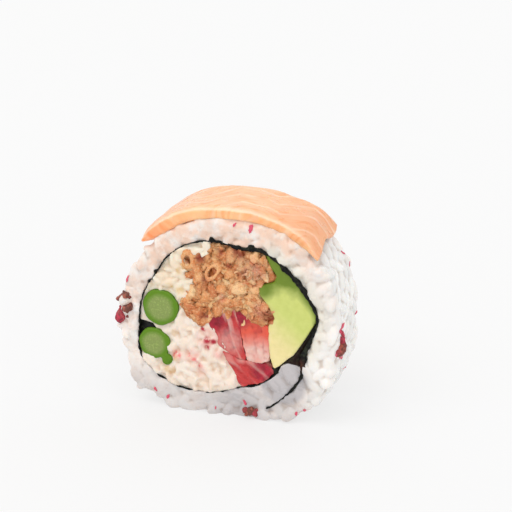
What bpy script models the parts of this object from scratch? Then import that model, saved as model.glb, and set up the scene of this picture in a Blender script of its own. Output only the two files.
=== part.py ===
"""One piece of uramaki roll, lying on its rice, with its cut faces at the two ends of Y.

The section is drawn in X and Z: a rice outline, a nori spiral inside it and the fillings inside the nori.
Every piece runs through the whole depth along Y. Sizes are in metres, +Z is up and the roll rests on Z = 0.
Outlines are lists of (x, z) in millimetres, which in_metres() converts.
"""

import math
import random

import bmesh
import bpy
from mathutils import Matrix, Vector, noise

MM = 0.001

# The roll
DEPTH = 17.0 * MM  # from one cut face to the other
HALF_WIDTH = 25.0 * MM
MIDDLE_Z = 22.5 * MM  # height of the section's centre
RICE_TOP = 23.5 * MM  # rice above the centre, under the salmon
RICE_BOTTOM = 23.2 * MM  # rice below the centre, which the flat base then cuts
OUTLINE_POWERS = (2.3, 1.8, 3.3, 3.0)  # squareness of the four quarters, from the upper right, anticlockwise
GAP = 0.3 * MM  # between neighbouring pieces
FRONT = -DEPTH / 2
BACK = DEPTH / 2
OVERSHOOT = 4 * MM  # how far a cutter runs past the faces

# Nori: its centreline as (degrees from +X about the centre, radius in mm), from the outer end inwards
NORI_KNOTS = (
    (-65, 21.7), (-50, 21.0), (-35, 20.5), (-20, 18.7), (-8, 19.2), (8, 20.8), (25, 19.8), (45, 19.0),
    (65, 18.9), (80, 17.5), (95, 18.2), (115, 19.0), (135, 19.2), (152, 18.9), (170, 20.3), (190, 21.2),
    (207, 22.9), (222, 22.2), (240, 20.3), (258, 18.1), (275, 16.1), (295, 16.1), (317, 16.0),
)  # fmt: skip
NORI_THICKNESS = 0.5 * MM
NORI_STEP = 5.5  # degrees between samples
NORI_PROUD = 0.25 * MM  # how far its cut edges stand out of the faces
NORI_RIPPLE = 0.3 * MM
BESIDE_NORI = NORI_THICKNESS / 2 + GAP  # from the nori's centreline to its neighbours

# Rice
TONGUE_ANGLE = -28  # where the inner end of the rice stops against the nori
TONGUE_TIP = ((16.2, 13.5), (15.2, 14.2), (13.8, 14.0), (12.4, 13.2))  # its rounded upper edge
CORE_SIDES = 48
CORE_RIPPLE = 0.5 * MM
EDGE_ROUNDING = 1.0 * MM
GRAIN_LENGTH = 6.0 * MM
GRAIN_WIDTH = 2.7 * MM
GRAIN_SINK = 0.45 * MM  # how far a grain's middle lies below the surface
GRAIN_SIDES, GRAIN_RINGS = 5, 4
SIDE_GRAINS = 88
FACE_GRAINS = 17  # on each cut face

# Salmon, measured round the rice in degrees
SALMON_LEFT = 138.0
SALMON_RIGHT_FRONT = 37.0
SALMON_RIGHT_BACK = 42.0
SALMON_THICKNESS = 2.4 * MM
SALMON_TAPER = 14.0  # degrees over which the right end thins out
SALMON_BANDS = 16  # waves of muscle per turn
SALMON_RELIEF = 0.22 * MM
SALMON_RIM = 0.35 * MM  # how much lower its two long edges lie

# Asparagus: centre and radius of each spear, in mm, and of the scale leaf on the lower one
ASPARAGUS = {"asparagus_upper": (-15.3, 23.9, 3.9), "asparagus_lower": (-16.7, 15.1, 3.55)}
SCALE_LEAF = (-14.1, 11.5, 1.15)
SPEAR_SIDE = ((-23.0, 25.0), (-16.0, 24.0), (-17.0, 13.0), (-23.0, 12.6))  # the spears touch the nori here

# Other fillings: the stretch of nori that each lies along, in degrees, then the rest of its outline
AVOCADO_EDGE = (63, 7)
AVOCADO_CUT = (
    (18.1, 20.7), (15.4, 16.2), (13.2, 14.6), (11.4, 13.4), (10.4, 13.2), (9.8, 15.6), (9.6, 19.2),
    (9.7, 22.4), (11.2, 24.2), (10.1, 26.1), (8.9, 27.9), (7.3, 29.4), (7.3, 31.0), (8.7, 32.0),
    (10.9, 32.7), (11.5, 34.2), (10.2, 35.8),
)  # fmt: skip
STRAWBERRIES = {
    "strawberry_left": (
        (-4.5, 22.7), (-3.3, 24.2), (-1.1, 24.9), (0.6, 26.0), (1.6, 24.7), (2.4, 21.8), (3.1, 18.4),
        (3.7, 15.6), (4.1, 14.0), (2.9, 14.0), (1.0, 14.8), (-0.7, 15.7), (-1.9, 16.8), (-2.0, 18.6),
        (-3.6, 20.0),
    ),
    "strawberry_right": (
        (2.2, 24.7), (4.9, 24.4), (6.3, 23.2), (7.8, 22.0), (9.3, 21.6), (9.4, 18.0), (9.3, 14.5),
        (7.4, 13.7), (5.0, 13.8), (4.2, 16.1), (3.5, 18.9), (2.8, 21.9),
    ),
    "strawberry_lower": (
        (-1.1, 15.0), (0.9, 14.0), (3.0, 13.3), (4.9, 13.1), (7.2, 13.0), (8.9, 12.8), (10.0, 12.0),
        (9.9, 11.2), (8.0, 9.9), (5.6, 8.7), (3.5, 8.0), (2.4, 8.7), (1.4, 10.6), (0.1, 13.0),
    ),
}  # fmt: skip
ONION_EDGE = (104, 64)
ONION_INNER = (
    (9.2, 37.0), (10.2, 35.5), (11.0, 34.1), (10.4, 33.0), (8.3, 32.4), (6.9, 31.0), (7.0, 29.3),
    (8.6, 27.4), (10.6, 25.0), (10.6, 23.7), (9.0, 21.4), (6.3, 22.4), (4.4, 23.6), (2.2, 23.8),
    (-1.0, 23.4), (-3.2, 22.4), (-4.3, 21.4), (-5.2, 19.4), (-7.0, 19.4), (-8.8, 20.9), (-9.9, 23.6),
    (-9.9, 26.6), (-8.7, 28.4), (-9.0, 31.4), (-10.3, 33.4), (-10.3, 36.6), (-8.4, 37.9), (-6.4, 36.6),
    (-5.2, 37.9),
)  # fmt: skip
CRAB_EDGE = (262, 102)
CRAB_INNER = ((-3.0, 33.0), (-6.0, 27.0), (-5.0, 22.0), (-1.0, 19.0), (1.0, 14.0), (3.0, 8.6))
BEVEL = 0.3 * MM  # on the cut edges of the spears and the avocado

# Relief of the cut faces: height, length of a swell, spacing of the facets
STRAWBERRY_RELIEF = (0.7 * MM, 5 * MM, 2.6 * MM)
ONION_RELIEF = (1.3 * MM, 4 * MM, 3.0 * MM)
CRAB_RELIEF = (1.0 * MM, 4.2 * MM, 3.2 * MM)
RICE_RELIEF = (0.45 * MM, 5 * MM, 4.5 * MM)
ONION_CHIPS = 16  # on each cut face
CRAB_LUMPS = 13  # on each cut face

# Dried berry crumbs stuck to the rice, as x, y, z, radius and the stretch up Z, in mm
CRUMBS = (
    (-24.6, -7.3, 20.4, 1.5, 1.4), (-24.1, -7.3, 25.0, 1.4, 1.2), (25.0, -6.0, 19.6, 1.2, 1.7),
    (25.0, 0.0, 21.8, 0.7, 1.3), (25.0, 7.4, 21.6, 0.6, 1.3), (23.2, 7.4, 32.6, 0.6, 1.5),
    (21.9, 6.0, 35.8, 0.7, 1.2), (24.9, -3.2, 14.9, 0.6, 1.4), (5.2, -8.4, 1.8, 1.5, 0.7),
    (5.6, -8.6, 44.6, 0.8, 1.2), (-22.6, -7.6, 30.4, 0.7, 1.7), (-13.4, -8.6, 2.4, 0.7, 1.3),
    (17.8, -8.2, 3.4, 0.9, 0.8), (-24.0, 2.0, 14.0, 1.0, 1.2), (-23.0, 4.5, 30.0, 0.8, 1.3),
    (-22.8, 8.4, 22.0, 0.8, 1.4),
)  # fmt: skip

# Colour and roughness of each food
LOOKS = {
    "rice": ((0.86, 0.85, 0.80), 0.35),
    "nori": ((0.02, 0.03, 0.02), 0.5),
    "salmon": ((0.90, 0.50, 0.27), 0.3),
    "asparagus": ((0.22, 0.42, 0.08), 0.4),
    "avocado": ((0.68, 0.72, 0.28), 0.4),
    "onion": ((0.60, 0.32, 0.13), 0.55),
    "crab": ((0.88, 0.80, 0.70), 0.4),
    "strawberry": ((0.62, 0.10, 0.11), 0.3),
}

GOLDEN = (math.sqrt(5) - 1) / 2  # its multiples spread a row of things evenly


def clear_scene():
    """Removes whatever the startup scene holds."""
    for obj in list(bpy.data.objects):
        bpy.data.objects.remove(obj)


def material(name):
    """A Principled BSDF with the colour and roughness listed for that food."""
    found = bpy.data.materials.get(name)
    if found:
        return found
    colour, roughness = LOOKS[name]
    made = bpy.data.materials.new(name)
    made.use_nodes = True
    shader = made.node_tree.nodes["Principled BSDF"]
    shader.inputs["Base Color"].default_value = (*colour, 1)
    shader.inputs["Roughness"].default_value = roughness
    return made


def add_object(name, bm, look=None, collection=None):
    """Turns a bmesh into a named object with outward normals."""
    bmesh.ops.recalc_face_normals(bm, faces=bm.faces)
    mesh = bpy.data.meshes.new(name)
    bm.to_mesh(mesh)
    bm.free()
    obj = bpy.data.objects.new(name, mesh)
    (collection or bpy.context.scene.collection).objects.link(obj)
    if look:
        mesh.materials.append(material(look))
    return obj


def triangulate(bm):
    """Splits every face, with fresh normals because the split of a concave face depends on them."""
    bm.normal_update()
    bmesh.ops.triangulate(bm, faces=bm.faces)


def new_collection(name):
    """An empty collection in the scene for pieces that are about to be joined."""
    made = bpy.data.collections.new(name)
    bpy.context.scene.collection.children.link(made)
    return made


def apply_boolean(target, operation, tool, solver="EXACT"):
    """Joins, cuts or intersects target with an object or a collection of objects, and removes those."""
    modifier = target.modifiers.new(operation.title(), "BOOLEAN")
    modifier.operation = operation
    modifier.solver = solver
    parts = [tool]
    if isinstance(tool, bpy.types.Collection):
        modifier.operand_type = "COLLECTION"
        modifier.collection = tool
        parts = list(tool.objects)
    else:
        modifier.object = tool
    bpy.context.view_layer.objects.active = target
    bpy.ops.object.modifier_apply(modifier=modifier.name)
    for part in parts:
        bpy.data.objects.remove(part)
    if isinstance(tool, bpy.types.Collection):
        bpy.data.collections.remove(tool)


# Lines of the section


def in_metres(points):
    return [(x * MM, z * MM) for x, z in points]


def polar(degrees, radius):
    """The point of the section at that angle and distance from its centre."""
    turn = math.radians(degrees)
    return radius * math.cos(turn), MIDDLE_Z + radius * math.sin(turn)


def rice_radius(degrees):
    """Distance from the section's centre to the rice outline, a superellipse with four squarenesses."""
    turn = math.radians(degrees)
    c, s = math.cos(turn), math.sin(turn)
    power = OUTLINE_POWERS[int(degrees % 360 // 90)]
    height = RICE_TOP if s >= 0 else RICE_BOTTOM
    return ((abs(c) / HALF_WIDTH) ** power + (abs(s) / height) ** power) ** (-1 / power)


def catmull_rom(a, b, c, d, t):
    """The smooth value between b and c, with a and d on either side of them."""
    return b + 0.5 * t * (c - a + t * (2 * a - 5 * b + 4 * c - d + t * (3 * (b - c) + d - a)))


def nori_radius(degrees):
    """Radius of the nori's centreline at an angle that runs on from its outer end."""
    last = len(NORI_KNOTS) - 1
    i = next((k for k in range(last) if degrees < NORI_KNOTS[k + 1][0]), last - 1)
    t = (degrees - NORI_KNOTS[i][0]) / (NORI_KNOTS[i + 1][0] - NORI_KNOTS[i][0])
    around = [NORI_KNOTS[min(max(k, 0), last)][1] for k in range(i - 1, i + 3)]
    return catmull_rom(*around, t) * MM


def along_nori(start, end, offset):
    """Points beside the nori from one angle to another, moved outwards by offset."""
    count = max(2, round(abs(end - start) / NORI_STEP))
    angles = [start + (end - start) * k / count for k in range(count + 1)]
    return [polar(a, nori_radius(a) + offset) for a in angles]


def nori_band(half_thickness, overrun=0.0):
    """The nori's section as one closed loop, longer at both ends by overrun in degrees."""
    start, end = NORI_KNOTS[0][0] - overrun, NORI_KNOTS[-1][0] + overrun
    return along_nori(start, end, half_thickness) + along_nori(start, end, -half_thickness)[::-1]


def filling_space():
    """The loop inside the nori that holds the fillings, closed by the tongue of rice."""
    return along_nori(TONGUE_ANGLE, NORI_KNOTS[-1][0], 0) + in_metres(TONGUE_TIP)[::-1]


def smooth_loop(points):
    """A closed curve through the points, with one more point halfway along each stretch."""
    n = len(points)
    loop = []
    for i in range(n):
        around = [points[(i + k) % n] for k in (-1, 0, 1, 2)]
        for t in (0, 0.5):
            loop.append(tuple(catmull_rom(*(p[axis] for p in around), t) for axis in (0, 1)))
    return loop


def lobed_circle(x, z, radius, sides):
    """A slightly uneven circle given in mm, as a spear's section is."""
    loop = []
    for k in range(sides):
        turn = 2 * math.pi * k / sides
        r = radius * (1 + 0.025 * math.sin(3 * turn + 1) + 0.015 * math.sin(7 * turn))
        loop.append((x + r * math.cos(turn), z + r * math.sin(turn)))
    return in_metres(loop)


def spear_outline(name):
    return lobed_circle(*ASPARAGUS[name], sides=22)


def leaf_outline():
    return lobed_circle(*SCALE_LEAF, sides=10)


def edged_outline(edge, inner):
    """An outline that follows the nori's inside along one edge."""
    return along_nori(*edge, -BESIDE_NORI) + in_metres(inner)


def signed_area(outline):
    """Area of a loop, positive when it runs anticlockwise."""
    following = outline[1:] + outline[:1]
    return sum(a[0] * b[1] - b[0] * a[1] for a, b in zip(outline, following)) / 2


def grown(outline, distance):
    """The loop moved outwards by a distance, point by point along its normals."""
    side = math.copysign(1, signed_area(outline))
    n = len(outline)
    loop = []
    for i, (x, z) in enumerate(outline):
        before, after = Vector(outline[i - 1]), Vector(outline[(i + 1) % n])
        along = (after - before).normalized()
        loop.append((x + side * along.y * distance, z - side * along.x * distance))
    return loop


def inside(outline, x, z):
    """True if the point lies in the loop."""
    hit = False
    for (ax, az), (bx, bz) in zip(outline, outline[1:] + outline[:1]):
        if (az > z) != (bz > z) and x < ax + (z - az) * (bx - ax) / (bz - az):
            hit = not hit
    return hit


# Solids of the section


def prism(name, outline, front=FRONT, back=BACK, look=None):
    """The outline as a straight solid from front to back."""
    bm = bmesh.new()
    face = bm.faces.new([bm.verts.new((x, front, z)) for x, z in outline])
    extruded = bmesh.ops.extrude_face_region(bm, geom=[face])["geom"]
    moved = [v for v in extruded if isinstance(v, bmesh.types.BMVert)]
    bmesh.ops.translate(bm, verts=moved, vec=(0, back - front, 0))
    triangulate(bm)
    return add_object(name, bm, look)


def cutter(outline, grow=0.0):
    """A prism that runs past both faces, for cutting."""
    return prism("cutter", grown(outline, grow), FRONT - OVERSHOOT, BACK + OVERSHOOT)


def add_strip(bm, a, b):
    """Two triangles for each stretch between two closed loops of vertices."""
    for k in range(len(a)):
        n = (k + 1) % len(a)
        bm.faces.new((a[k], a[n], b[n]))
        bm.faces.new((a[k], b[n], b[k]))


def rounded_prism(name, outline, look):
    """A smooth piece whose cut edges are bevelled."""
    bm = bmesh.new()
    rings = ((FRONT, BEVEL), (FRONT + BEVEL, 0), (BACK - BEVEL, 0), (BACK, BEVEL))
    loops = [[bm.verts.new((x, y, z)) for x, z in grown(outline, -inset)] for y, inset in rings]
    for a, b in zip(loops, loops[1:]):
        add_strip(bm, a, b)
    bm.faces.new(loops[0])
    bm.faces.new(loops[-1])
    triangulate(bm)
    return add_object(name, bm, look)


def uneven_block(outline, relief, seed):
    """A block round the outline whose front and back faces swell smoothly in and out."""
    height, length, step = relief
    low_x, low_z = (min(p[axis] for p in outline) - step for axis in (0, 1))
    high_x, high_z = (max(p[axis] for p in outline) + step for axis in (0, 1))
    columns, rows = math.ceil((high_x - low_x) / step), math.ceil((high_z - low_z) / step)
    bm = bmesh.new()
    sheets = []
    for side in (FRONT, BACK):
        outward = math.copysign(1, side)
        sheet = {}
        for i in range(columns + 1):
            for j in range(rows + 1):
                x = low_x + (i + 0.5 * (j % 2)) * step
                z = low_z + j * step
                swell = height * noise.noise(Vector((x / length, seed + 5 * outward, z / length)))
                sheet[i, j] = bm.verts.new((x, side + outward * swell, z))
        sheets.append(sheet)
        for i in range(columns):
            for j in range(rows):
                a, b, c, d = sheet[i, j], sheet[i + 1, j], sheet[i + 1, j + 1], sheet[i, j + 1]
                for triangle in ((a, b, c), (a, c, d)) if j % 2 else ((a, b, d), (b, c, d)):
                    bm.faces.new(triangle)
    rim = [(i, 0) for i in range(columns)] + [(columns, j) for j in range(rows)]
    rim += [(i, rows) for i in range(columns, 0, -1)] + [(0, j) for j in range(rows, 0, -1)]
    add_strip(bm, *([sheet[key] for key in rim] for sheet in sheets))
    return add_object("uneven_block", bm)


def uneven_prism(name, outline, look, relief, seed, neighbours):
    """The outline as a solid with uneven cut faces, cut back from its neighbours by the gap."""
    piece = prism(name, outline, FRONT - OVERSHOOT, BACK + OVERSHOOT, look)
    apply_boolean(piece, "INTERSECT", uneven_block(outline, relief, seed))
    for neighbour in neighbours:
        apply_boolean(piece, "DIFFERENCE", cutter(neighbour, GAP), "MANIFOLD")
    return piece


def add_blob(collection, centre, turn, size, rings=GRAIN_RINGS, rough=0.0, seed=0.0):
    """A closed blob of few sides, scaled to size along its own axes, roughened, turned and placed."""
    bm = bmesh.new()
    bmesh.ops.create_uvsphere(bm, u_segments=GRAIN_SIDES, v_segments=rings, radius=0.5)
    for v in bm.verts:
        v.co *= 1 + rough * noise.noise(v.co * 3 + Vector((seed, seed / 3, 0)))
        v.co = Vector(a * b for a, b in zip(v.co, size))
    triangulate(bm)
    matrix = Matrix.Translation(centre) @ turn.to_matrix().to_4x4()
    bmesh.ops.transform(bm, matrix=matrix, verts=bm.verts)
    return add_object("blob", bm, collection=collection)


def spread_over_faces(outline, count, neighbours, clearance):
    """Points spread evenly over both faces of an outline and clear of its edge and its neighbours."""
    low_x, low_z = (min(p[axis] for p in outline) for axis in (0, 1))
    high_x, high_z = (max(p[axis] for p in outline) for axis in (0, 1))
    room = grown(outline, -clearance)
    taken = [grown(neighbour, clearance) for neighbour in neighbours]
    for side in (FRONT, BACK):
        found = 0
        for k in range(count * 40):
            x = low_x + (high_x - low_x) * ((k * 0.7549 + side / DEPTH) % 1)
            z = low_z + (high_z - low_z) * (k * 0.5698 % 1)
            if inside(room, x, z) and not any(inside(loop, x, z) for loop in taken):
                yield side, x, z
                found += 1
            if found == count:
                break


# The pieces of the roll


def rice_core():
    """The bare rice: the outline with rounded rims and low relief, before grains and cuts."""
    levels = ((-0.5, EDGE_ROUNDING), (-0.43, 0), (-0.15, 0), (0.15, 0), (0.43, 0), (0.5, EDGE_ROUNDING))
    bm = bmesh.new()
    loops = []
    for share, inset in levels:
        loop = []
        for k in range(CORE_SIDES):
            degrees = 360 * k / CORE_SIDES
            turn = math.radians(degrees)
            ripple = CORE_RIPPLE * noise.noise(Vector((6 * math.cos(turn), 3 * share, 6 * math.sin(turn))))
            if SALMON_RIGHT_FRONT - 8 < degrees < SALMON_LEFT + 8:
                ripple = 0
            x, z = polar(degrees, rice_radius(degrees) - inset + ripple)
            loop.append(bm.verts.new((x, share * DEPTH, z)))
        loops.append(loop)
    for a, b in zip(loops, loops[1:]):
        add_strip(bm, a, b)
    bm.faces.new(loops[0])
    bm.faces.new(loops[-1])
    triangulate(bm)
    core = add_object("rice", bm, "rice")
    outline = [polar(10 * k, rice_radius(10 * k)) for k in range(36)]
    apply_boolean(core, "INTERSECT", uneven_block(outline, RICE_RELIEF, seed=3))
    return core


def side_grains(draw, collection):
    """Grains lying in the outside all round, clear of the salmon."""
    margin = 9
    start, end = SALMON_LEFT + margin, 360 + SALMON_RIGHT_FRONT - margin
    for k in range(SIDE_GRAINS):
        degrees = start + (end - start) * (k + 0.5) / SIDE_GRAINS
        y = ((k * GOLDEN) % 1 - 0.5) * (DEPTH - GRAIN_WIDTH)
        x, z = polar(degrees, rice_radius(degrees) - GRAIN_SINK)
        turn = math.radians(degrees)
        outward = Vector((math.cos(turn), 0, math.sin(turn)))
        lying = outward.cross(Vector((0, 1, 0)))
        swing = 1.2 if abs(y) < DEPTH / 4 else 0.35  # grains near a cut face lie along it
        lying.rotate(Matrix.Rotation(draw.uniform(-swing, swing), 3, outward))
        size = (GRAIN_WIDTH, GRAIN_WIDTH, GRAIN_LENGTH * draw.uniform(0.85, 1.1))
        add_blob(collection, (x, y, z), lying.to_track_quat("Z", "Y"), size)


def face_grains(draw, collection):
    """Grains that lie in the two cut faces, between the nori and the outline."""
    for side in (FRONT, BACK):
        for k in range(FACE_GRAINS):
            degrees = -50 + 360 * (k + 0.5) / FACE_GRAINS
            inner = nori_radius(degrees) + 0.6 * GRAIN_WIDTH
            outer = rice_radius(degrees) - 0.95 * GRAIN_WIDTH
            x, z = polar(degrees, inner + (outer - inner) * ((k * GOLDEN) % 1))
            turn = Matrix.Rotation(math.radians(90 - degrees) + draw.uniform(-0.4, 0.4), 3, "Y")
            size = (GRAIN_WIDTH, GRAIN_WIDTH, GRAIN_LENGTH * draw.uniform(0.6, 0.95))
            add_blob(collection, (x, side + math.copysign(GRAIN_SINK, -side), z), turn.to_quaternion(), size)


def berry_crumbs(draw, collection):
    """The dried berry crumbs, each sunk halfway into the rice."""
    for x, y, z, radius, stretch in CRUMBS:
        turn = Matrix.Rotation(draw.uniform(-0.5, 0.5), 3, "Y").to_quaternion()
        size = (2 * radius * MM, 2 * radius * MM, 2 * radius * stretch * MM)
        add_blob(collection, (x * MM, y * MM, z * MM), turn, size, rough=0.7, seed=x)


def make_rice():
    """Core, grains and crumbs joined, then cut by the nori, the fillings and the flat base."""
    draw = random.Random(11)
    rice = rice_core()
    bits = new_collection("rice_bits")
    side_grains(draw, bits)
    face_grains(draw, bits)
    berry_crumbs(draw, bits)
    apply_boolean(rice, "UNION", bits, "MANIFOLD")
    apply_boolean(rice, "DIFFERENCE", cutter(nori_band(BESIDE_NORI, overrun=1.5)))
    apply_boolean(rice, "DIFFERENCE", cutter(filling_space()))
    wide = 2 * HALF_WIDTH
    floor = [(-wide, 0), (wide, 0), (wide, -OVERSHOOT), (-wide, -OVERSHOOT)]
    apply_boolean(rice, "DIFFERENCE", cutter(floor))


def make_nori():
    """The seaweed sheet: the spiral band with gently rippled cut edges."""
    band = nori_band(NORI_THICKNESS / 2)
    count = len(band)
    bm = bmesh.new()
    loops = []
    for side in (FRONT, BACK):
        loop = []
        for k, (x, z) in enumerate(band):
            along = min(k, count - 1 - k)
            ripple = NORI_RIPPLE * math.sin(0.9 * along) * math.cos(0.37 * along + math.copysign(2.5, side))
            loop.append(bm.verts.new((x, side + math.copysign(NORI_PROUD, side) + ripple, z)))
        loops.append(loop)
    add_strip(bm, *loops)
    for loop in loops:
        for k in range(count // 2 - 1):
            a, b, c, d = loop[k], loop[k + 1], loop[count - 2 - k], loop[count - 1 - k]
            bm.faces.new((a, b, c))
            bm.faces.new((a, c, d))
    add_object("nori", bm, "nori")


def salmon_thickness(degrees, right_end):
    """Full over most of the slice, thinning at the right end and easing at the left."""
    taper = min(1, max(0.02, (degrees - right_end) / SALMON_TAPER))
    ease = min(1, (SALMON_LEFT - degrees) / 10 + 0.88)
    return SALMON_THICKNESS * (0.25 + 0.75 * math.sqrt(taper)) * ease


def make_salmon():
    """The slice laid over the rice, following it with the gap and showing its muscle bands."""
    along, across = 24, 6
    bm = bmesh.new()
    grid = {}
    for j in range(across + 1):
        share = j / across
        right_end = SALMON_RIGHT_FRONT + (SALMON_RIGHT_BACK - SALMON_RIGHT_FRONT) * share
        rim = SALMON_RIM if j in (0, across) else 0
        for i in range(along + 1):
            degrees = SALMON_LEFT + (right_end - SALMON_LEFT) * i / along
            under = rice_radius(degrees) + GAP
            bands = SALMON_RELIEF * math.sin(math.radians(degrees) * SALMON_BANDS + share * 3.2)
            if not 2 < i < along - 2:
                bands = 0
            over = under + salmon_thickness(degrees, right_end) + bands - rim
            for layer, radius in (("under", under), ("over", over)):
                x, z = polar(degrees, radius)
                grid[layer, i, j] = bm.verts.new((x, FRONT + DEPTH * share, z))
    for i in range(along):
        for j in range(across):
            for layer in ("under", "over"):
                a, b, c, d = (grid[layer, i + p, j + q] for p, q in ((0, 0), (1, 0), (1, 1), (0, 1)))
                bm.faces.new((a, b, c))
                bm.faces.new((a, c, d))
    rim_keys = [(i, 0) for i in range(along)] + [(along, j) for j in range(across)]
    rim_keys += [(i, across) for i in range(along, 0, -1)] + [(0, j) for j in range(across, 0, -1)]
    add_strip(bm, *([grid[layer, *key] for key in rim_keys] for layer in ("under", "over")))
    add_object("salmon", bm, "salmon")


def make_asparagus():
    """Two spears cut across; the lower one carries a scale leaf."""
    for name in ASPARAGUS:
        spear = rounded_prism(name, spear_outline(name), "asparagus")
    apply_boolean(spear, "UNION", prism("leaf", leaf_outline(), FRONT + BEVEL, BACK - BEVEL))


def make_onion(outline, neighbours):
    """Crisp fried onion: a craggy mass with broken flakes standing out of both faces."""
    draw = random.Random(23)
    onion = uneven_prism("crispy_onion", outline, "onion", ONION_RELIEF, 8, neighbours)
    chips = new_collection("onion_chips")
    for side, x, z in spread_over_faces(outline, ONION_CHIPS, neighbours, 1.5 * MM):
        turn = Matrix.Rotation(draw.uniform(0, 3), 3, "Y") @ Matrix.Rotation(draw.uniform(-0.5, 0.5), 3, "X")
        size = (draw.uniform(1.3, 2.1) * MM, draw.uniform(1.6, 2.8) * MM, draw.uniform(2.0, 2.7) * MM)
        add_blob(chips, (x, side, z), turn.to_quaternion(), size, 3, rough=0.8, seed=x / MM)
    apply_boolean(onion, "UNION", chips)


def make_crab(outline, neighbours):
    """Shredded crab in mayonnaise: soft lumps filling what the other fillings leave."""
    draw = random.Random(31)
    crab = uneven_prism("crab_salad", outline, "crab", CRAB_RELIEF, 14, neighbours)
    lumps = new_collection("crab_lumps")
    for side, x, z in spread_over_faces(outline, CRAB_LUMPS, neighbours, 1.8 * MM):
        turn = Matrix.Rotation(draw.uniform(0, 3), 3, "Y").to_quaternion()
        size = (draw.uniform(1.4, 2.0) * MM, draw.uniform(1.2, 2.0) * MM, draw.uniform(1.8, 2.9) * MM)
        add_blob(lumps, (x, side, z), turn, size, rough=0.5, seed=z / MM)
    apply_boolean(crab, "UNION", lumps)


def make_fillings():
    """All the fillings, each cut clear of those that were shaped before it."""
    make_asparagus()
    avocado = edged_outline(AVOCADO_EDGE, AVOCADO_CUT)
    rounded_prism("avocado", avocado, "avocado")
    shaped = [avocado]
    for name, points in STRAWBERRIES.items():
        outline = smooth_loop(in_metres(points))
        uneven_prism(name, outline, "strawberry", STRAWBERRY_RELIEF, 20, shaped)
        shaped.append(outline)
    onion = edged_outline(ONION_EDGE, ONION_INNER)
    make_onion(onion, shaped)
    spears = [spear_outline(name) for name in ASPARAGUS]
    shaped += [onion, *spears, leaf_outline(), in_metres(SPEAR_SIDE)]
    make_crab(edged_outline(CRAB_EDGE, CRAB_INNER), shaped)


def main():
    clear_scene()
    make_rice()
    make_nori()
    make_salmon()
    make_fillings()


main()
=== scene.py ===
"""Looks of the uramaki roll: grains of rice, seaweed, fish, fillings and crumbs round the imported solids."""

import math
import random

import bpy
import numpy as np
from bpy.props import FloatProperty, FloatVectorProperty, IntProperty, PointerProperty
from mathutils import Matrix, Vector, noise
from mathutils.bvhtree import BVHTree


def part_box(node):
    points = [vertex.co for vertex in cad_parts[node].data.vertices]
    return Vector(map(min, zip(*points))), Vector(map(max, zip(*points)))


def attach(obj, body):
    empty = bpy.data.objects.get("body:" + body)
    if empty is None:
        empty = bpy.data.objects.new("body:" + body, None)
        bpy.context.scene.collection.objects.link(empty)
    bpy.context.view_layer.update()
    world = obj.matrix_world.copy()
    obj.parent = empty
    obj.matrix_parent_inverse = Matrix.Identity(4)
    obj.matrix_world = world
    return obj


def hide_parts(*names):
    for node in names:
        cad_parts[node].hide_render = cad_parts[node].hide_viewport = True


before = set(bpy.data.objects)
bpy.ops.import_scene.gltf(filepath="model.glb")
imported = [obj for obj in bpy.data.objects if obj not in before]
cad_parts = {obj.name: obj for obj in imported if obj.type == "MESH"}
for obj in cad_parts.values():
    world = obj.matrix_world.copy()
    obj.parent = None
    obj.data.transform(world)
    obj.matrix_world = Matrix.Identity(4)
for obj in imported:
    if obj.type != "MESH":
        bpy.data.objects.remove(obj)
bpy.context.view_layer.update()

bl_info = {
    "name": "Uramaki Roll",
    "version": (1, 0, 0),
    "blender": (4, 5, 0),
    "location": "View3D > Sidebar > Uramaki",
    "description": "Models the rice, seaweed, fish and fillings of one piece of uramaki roll",
    "category": "Object",
}

BODY = "root"
MM = 0.001

# The section, as in the solids: X and Z, with the shown cut face at FRONT
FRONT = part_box("avocado")[0].y
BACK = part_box("avocado")[1].y
DEPTH = BACK - FRONT
HALF_WIDTH = 25.0 * MM
MIDDLE_Z = 22.5 * MM
RICE_TOP = 23.5 * MM
RICE_BOTTOM = 23.2 * MM
OUTLINE_POWERS = (2.3, 1.8, 3.3, 3.0)
NORI_KNOTS = (
    (-65, 21.7), (-50, 21.0), (-35, 20.5), (-20, 18.7), (-8, 19.2), (8, 20.8), (25, 19.8), (45, 19.0),
    (65, 18.9), (80, 17.5), (95, 18.2), (115, 19.0), (135, 19.2), (152, 18.9), (170, 20.05), (190, 20.9),
    (207, 22.8), (222, 22.2), (240, 20.3), (258, 18.1), (275, 16.1), (295, 16.1), (317, 16.0),
)  # fmt: skip
TONGUE_ANGLE = -28
TONGUE_TIP = ((16.2, 13.5), (15.2, 14.2), (13.8, 14.0), (12.4, 13.2))

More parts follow.
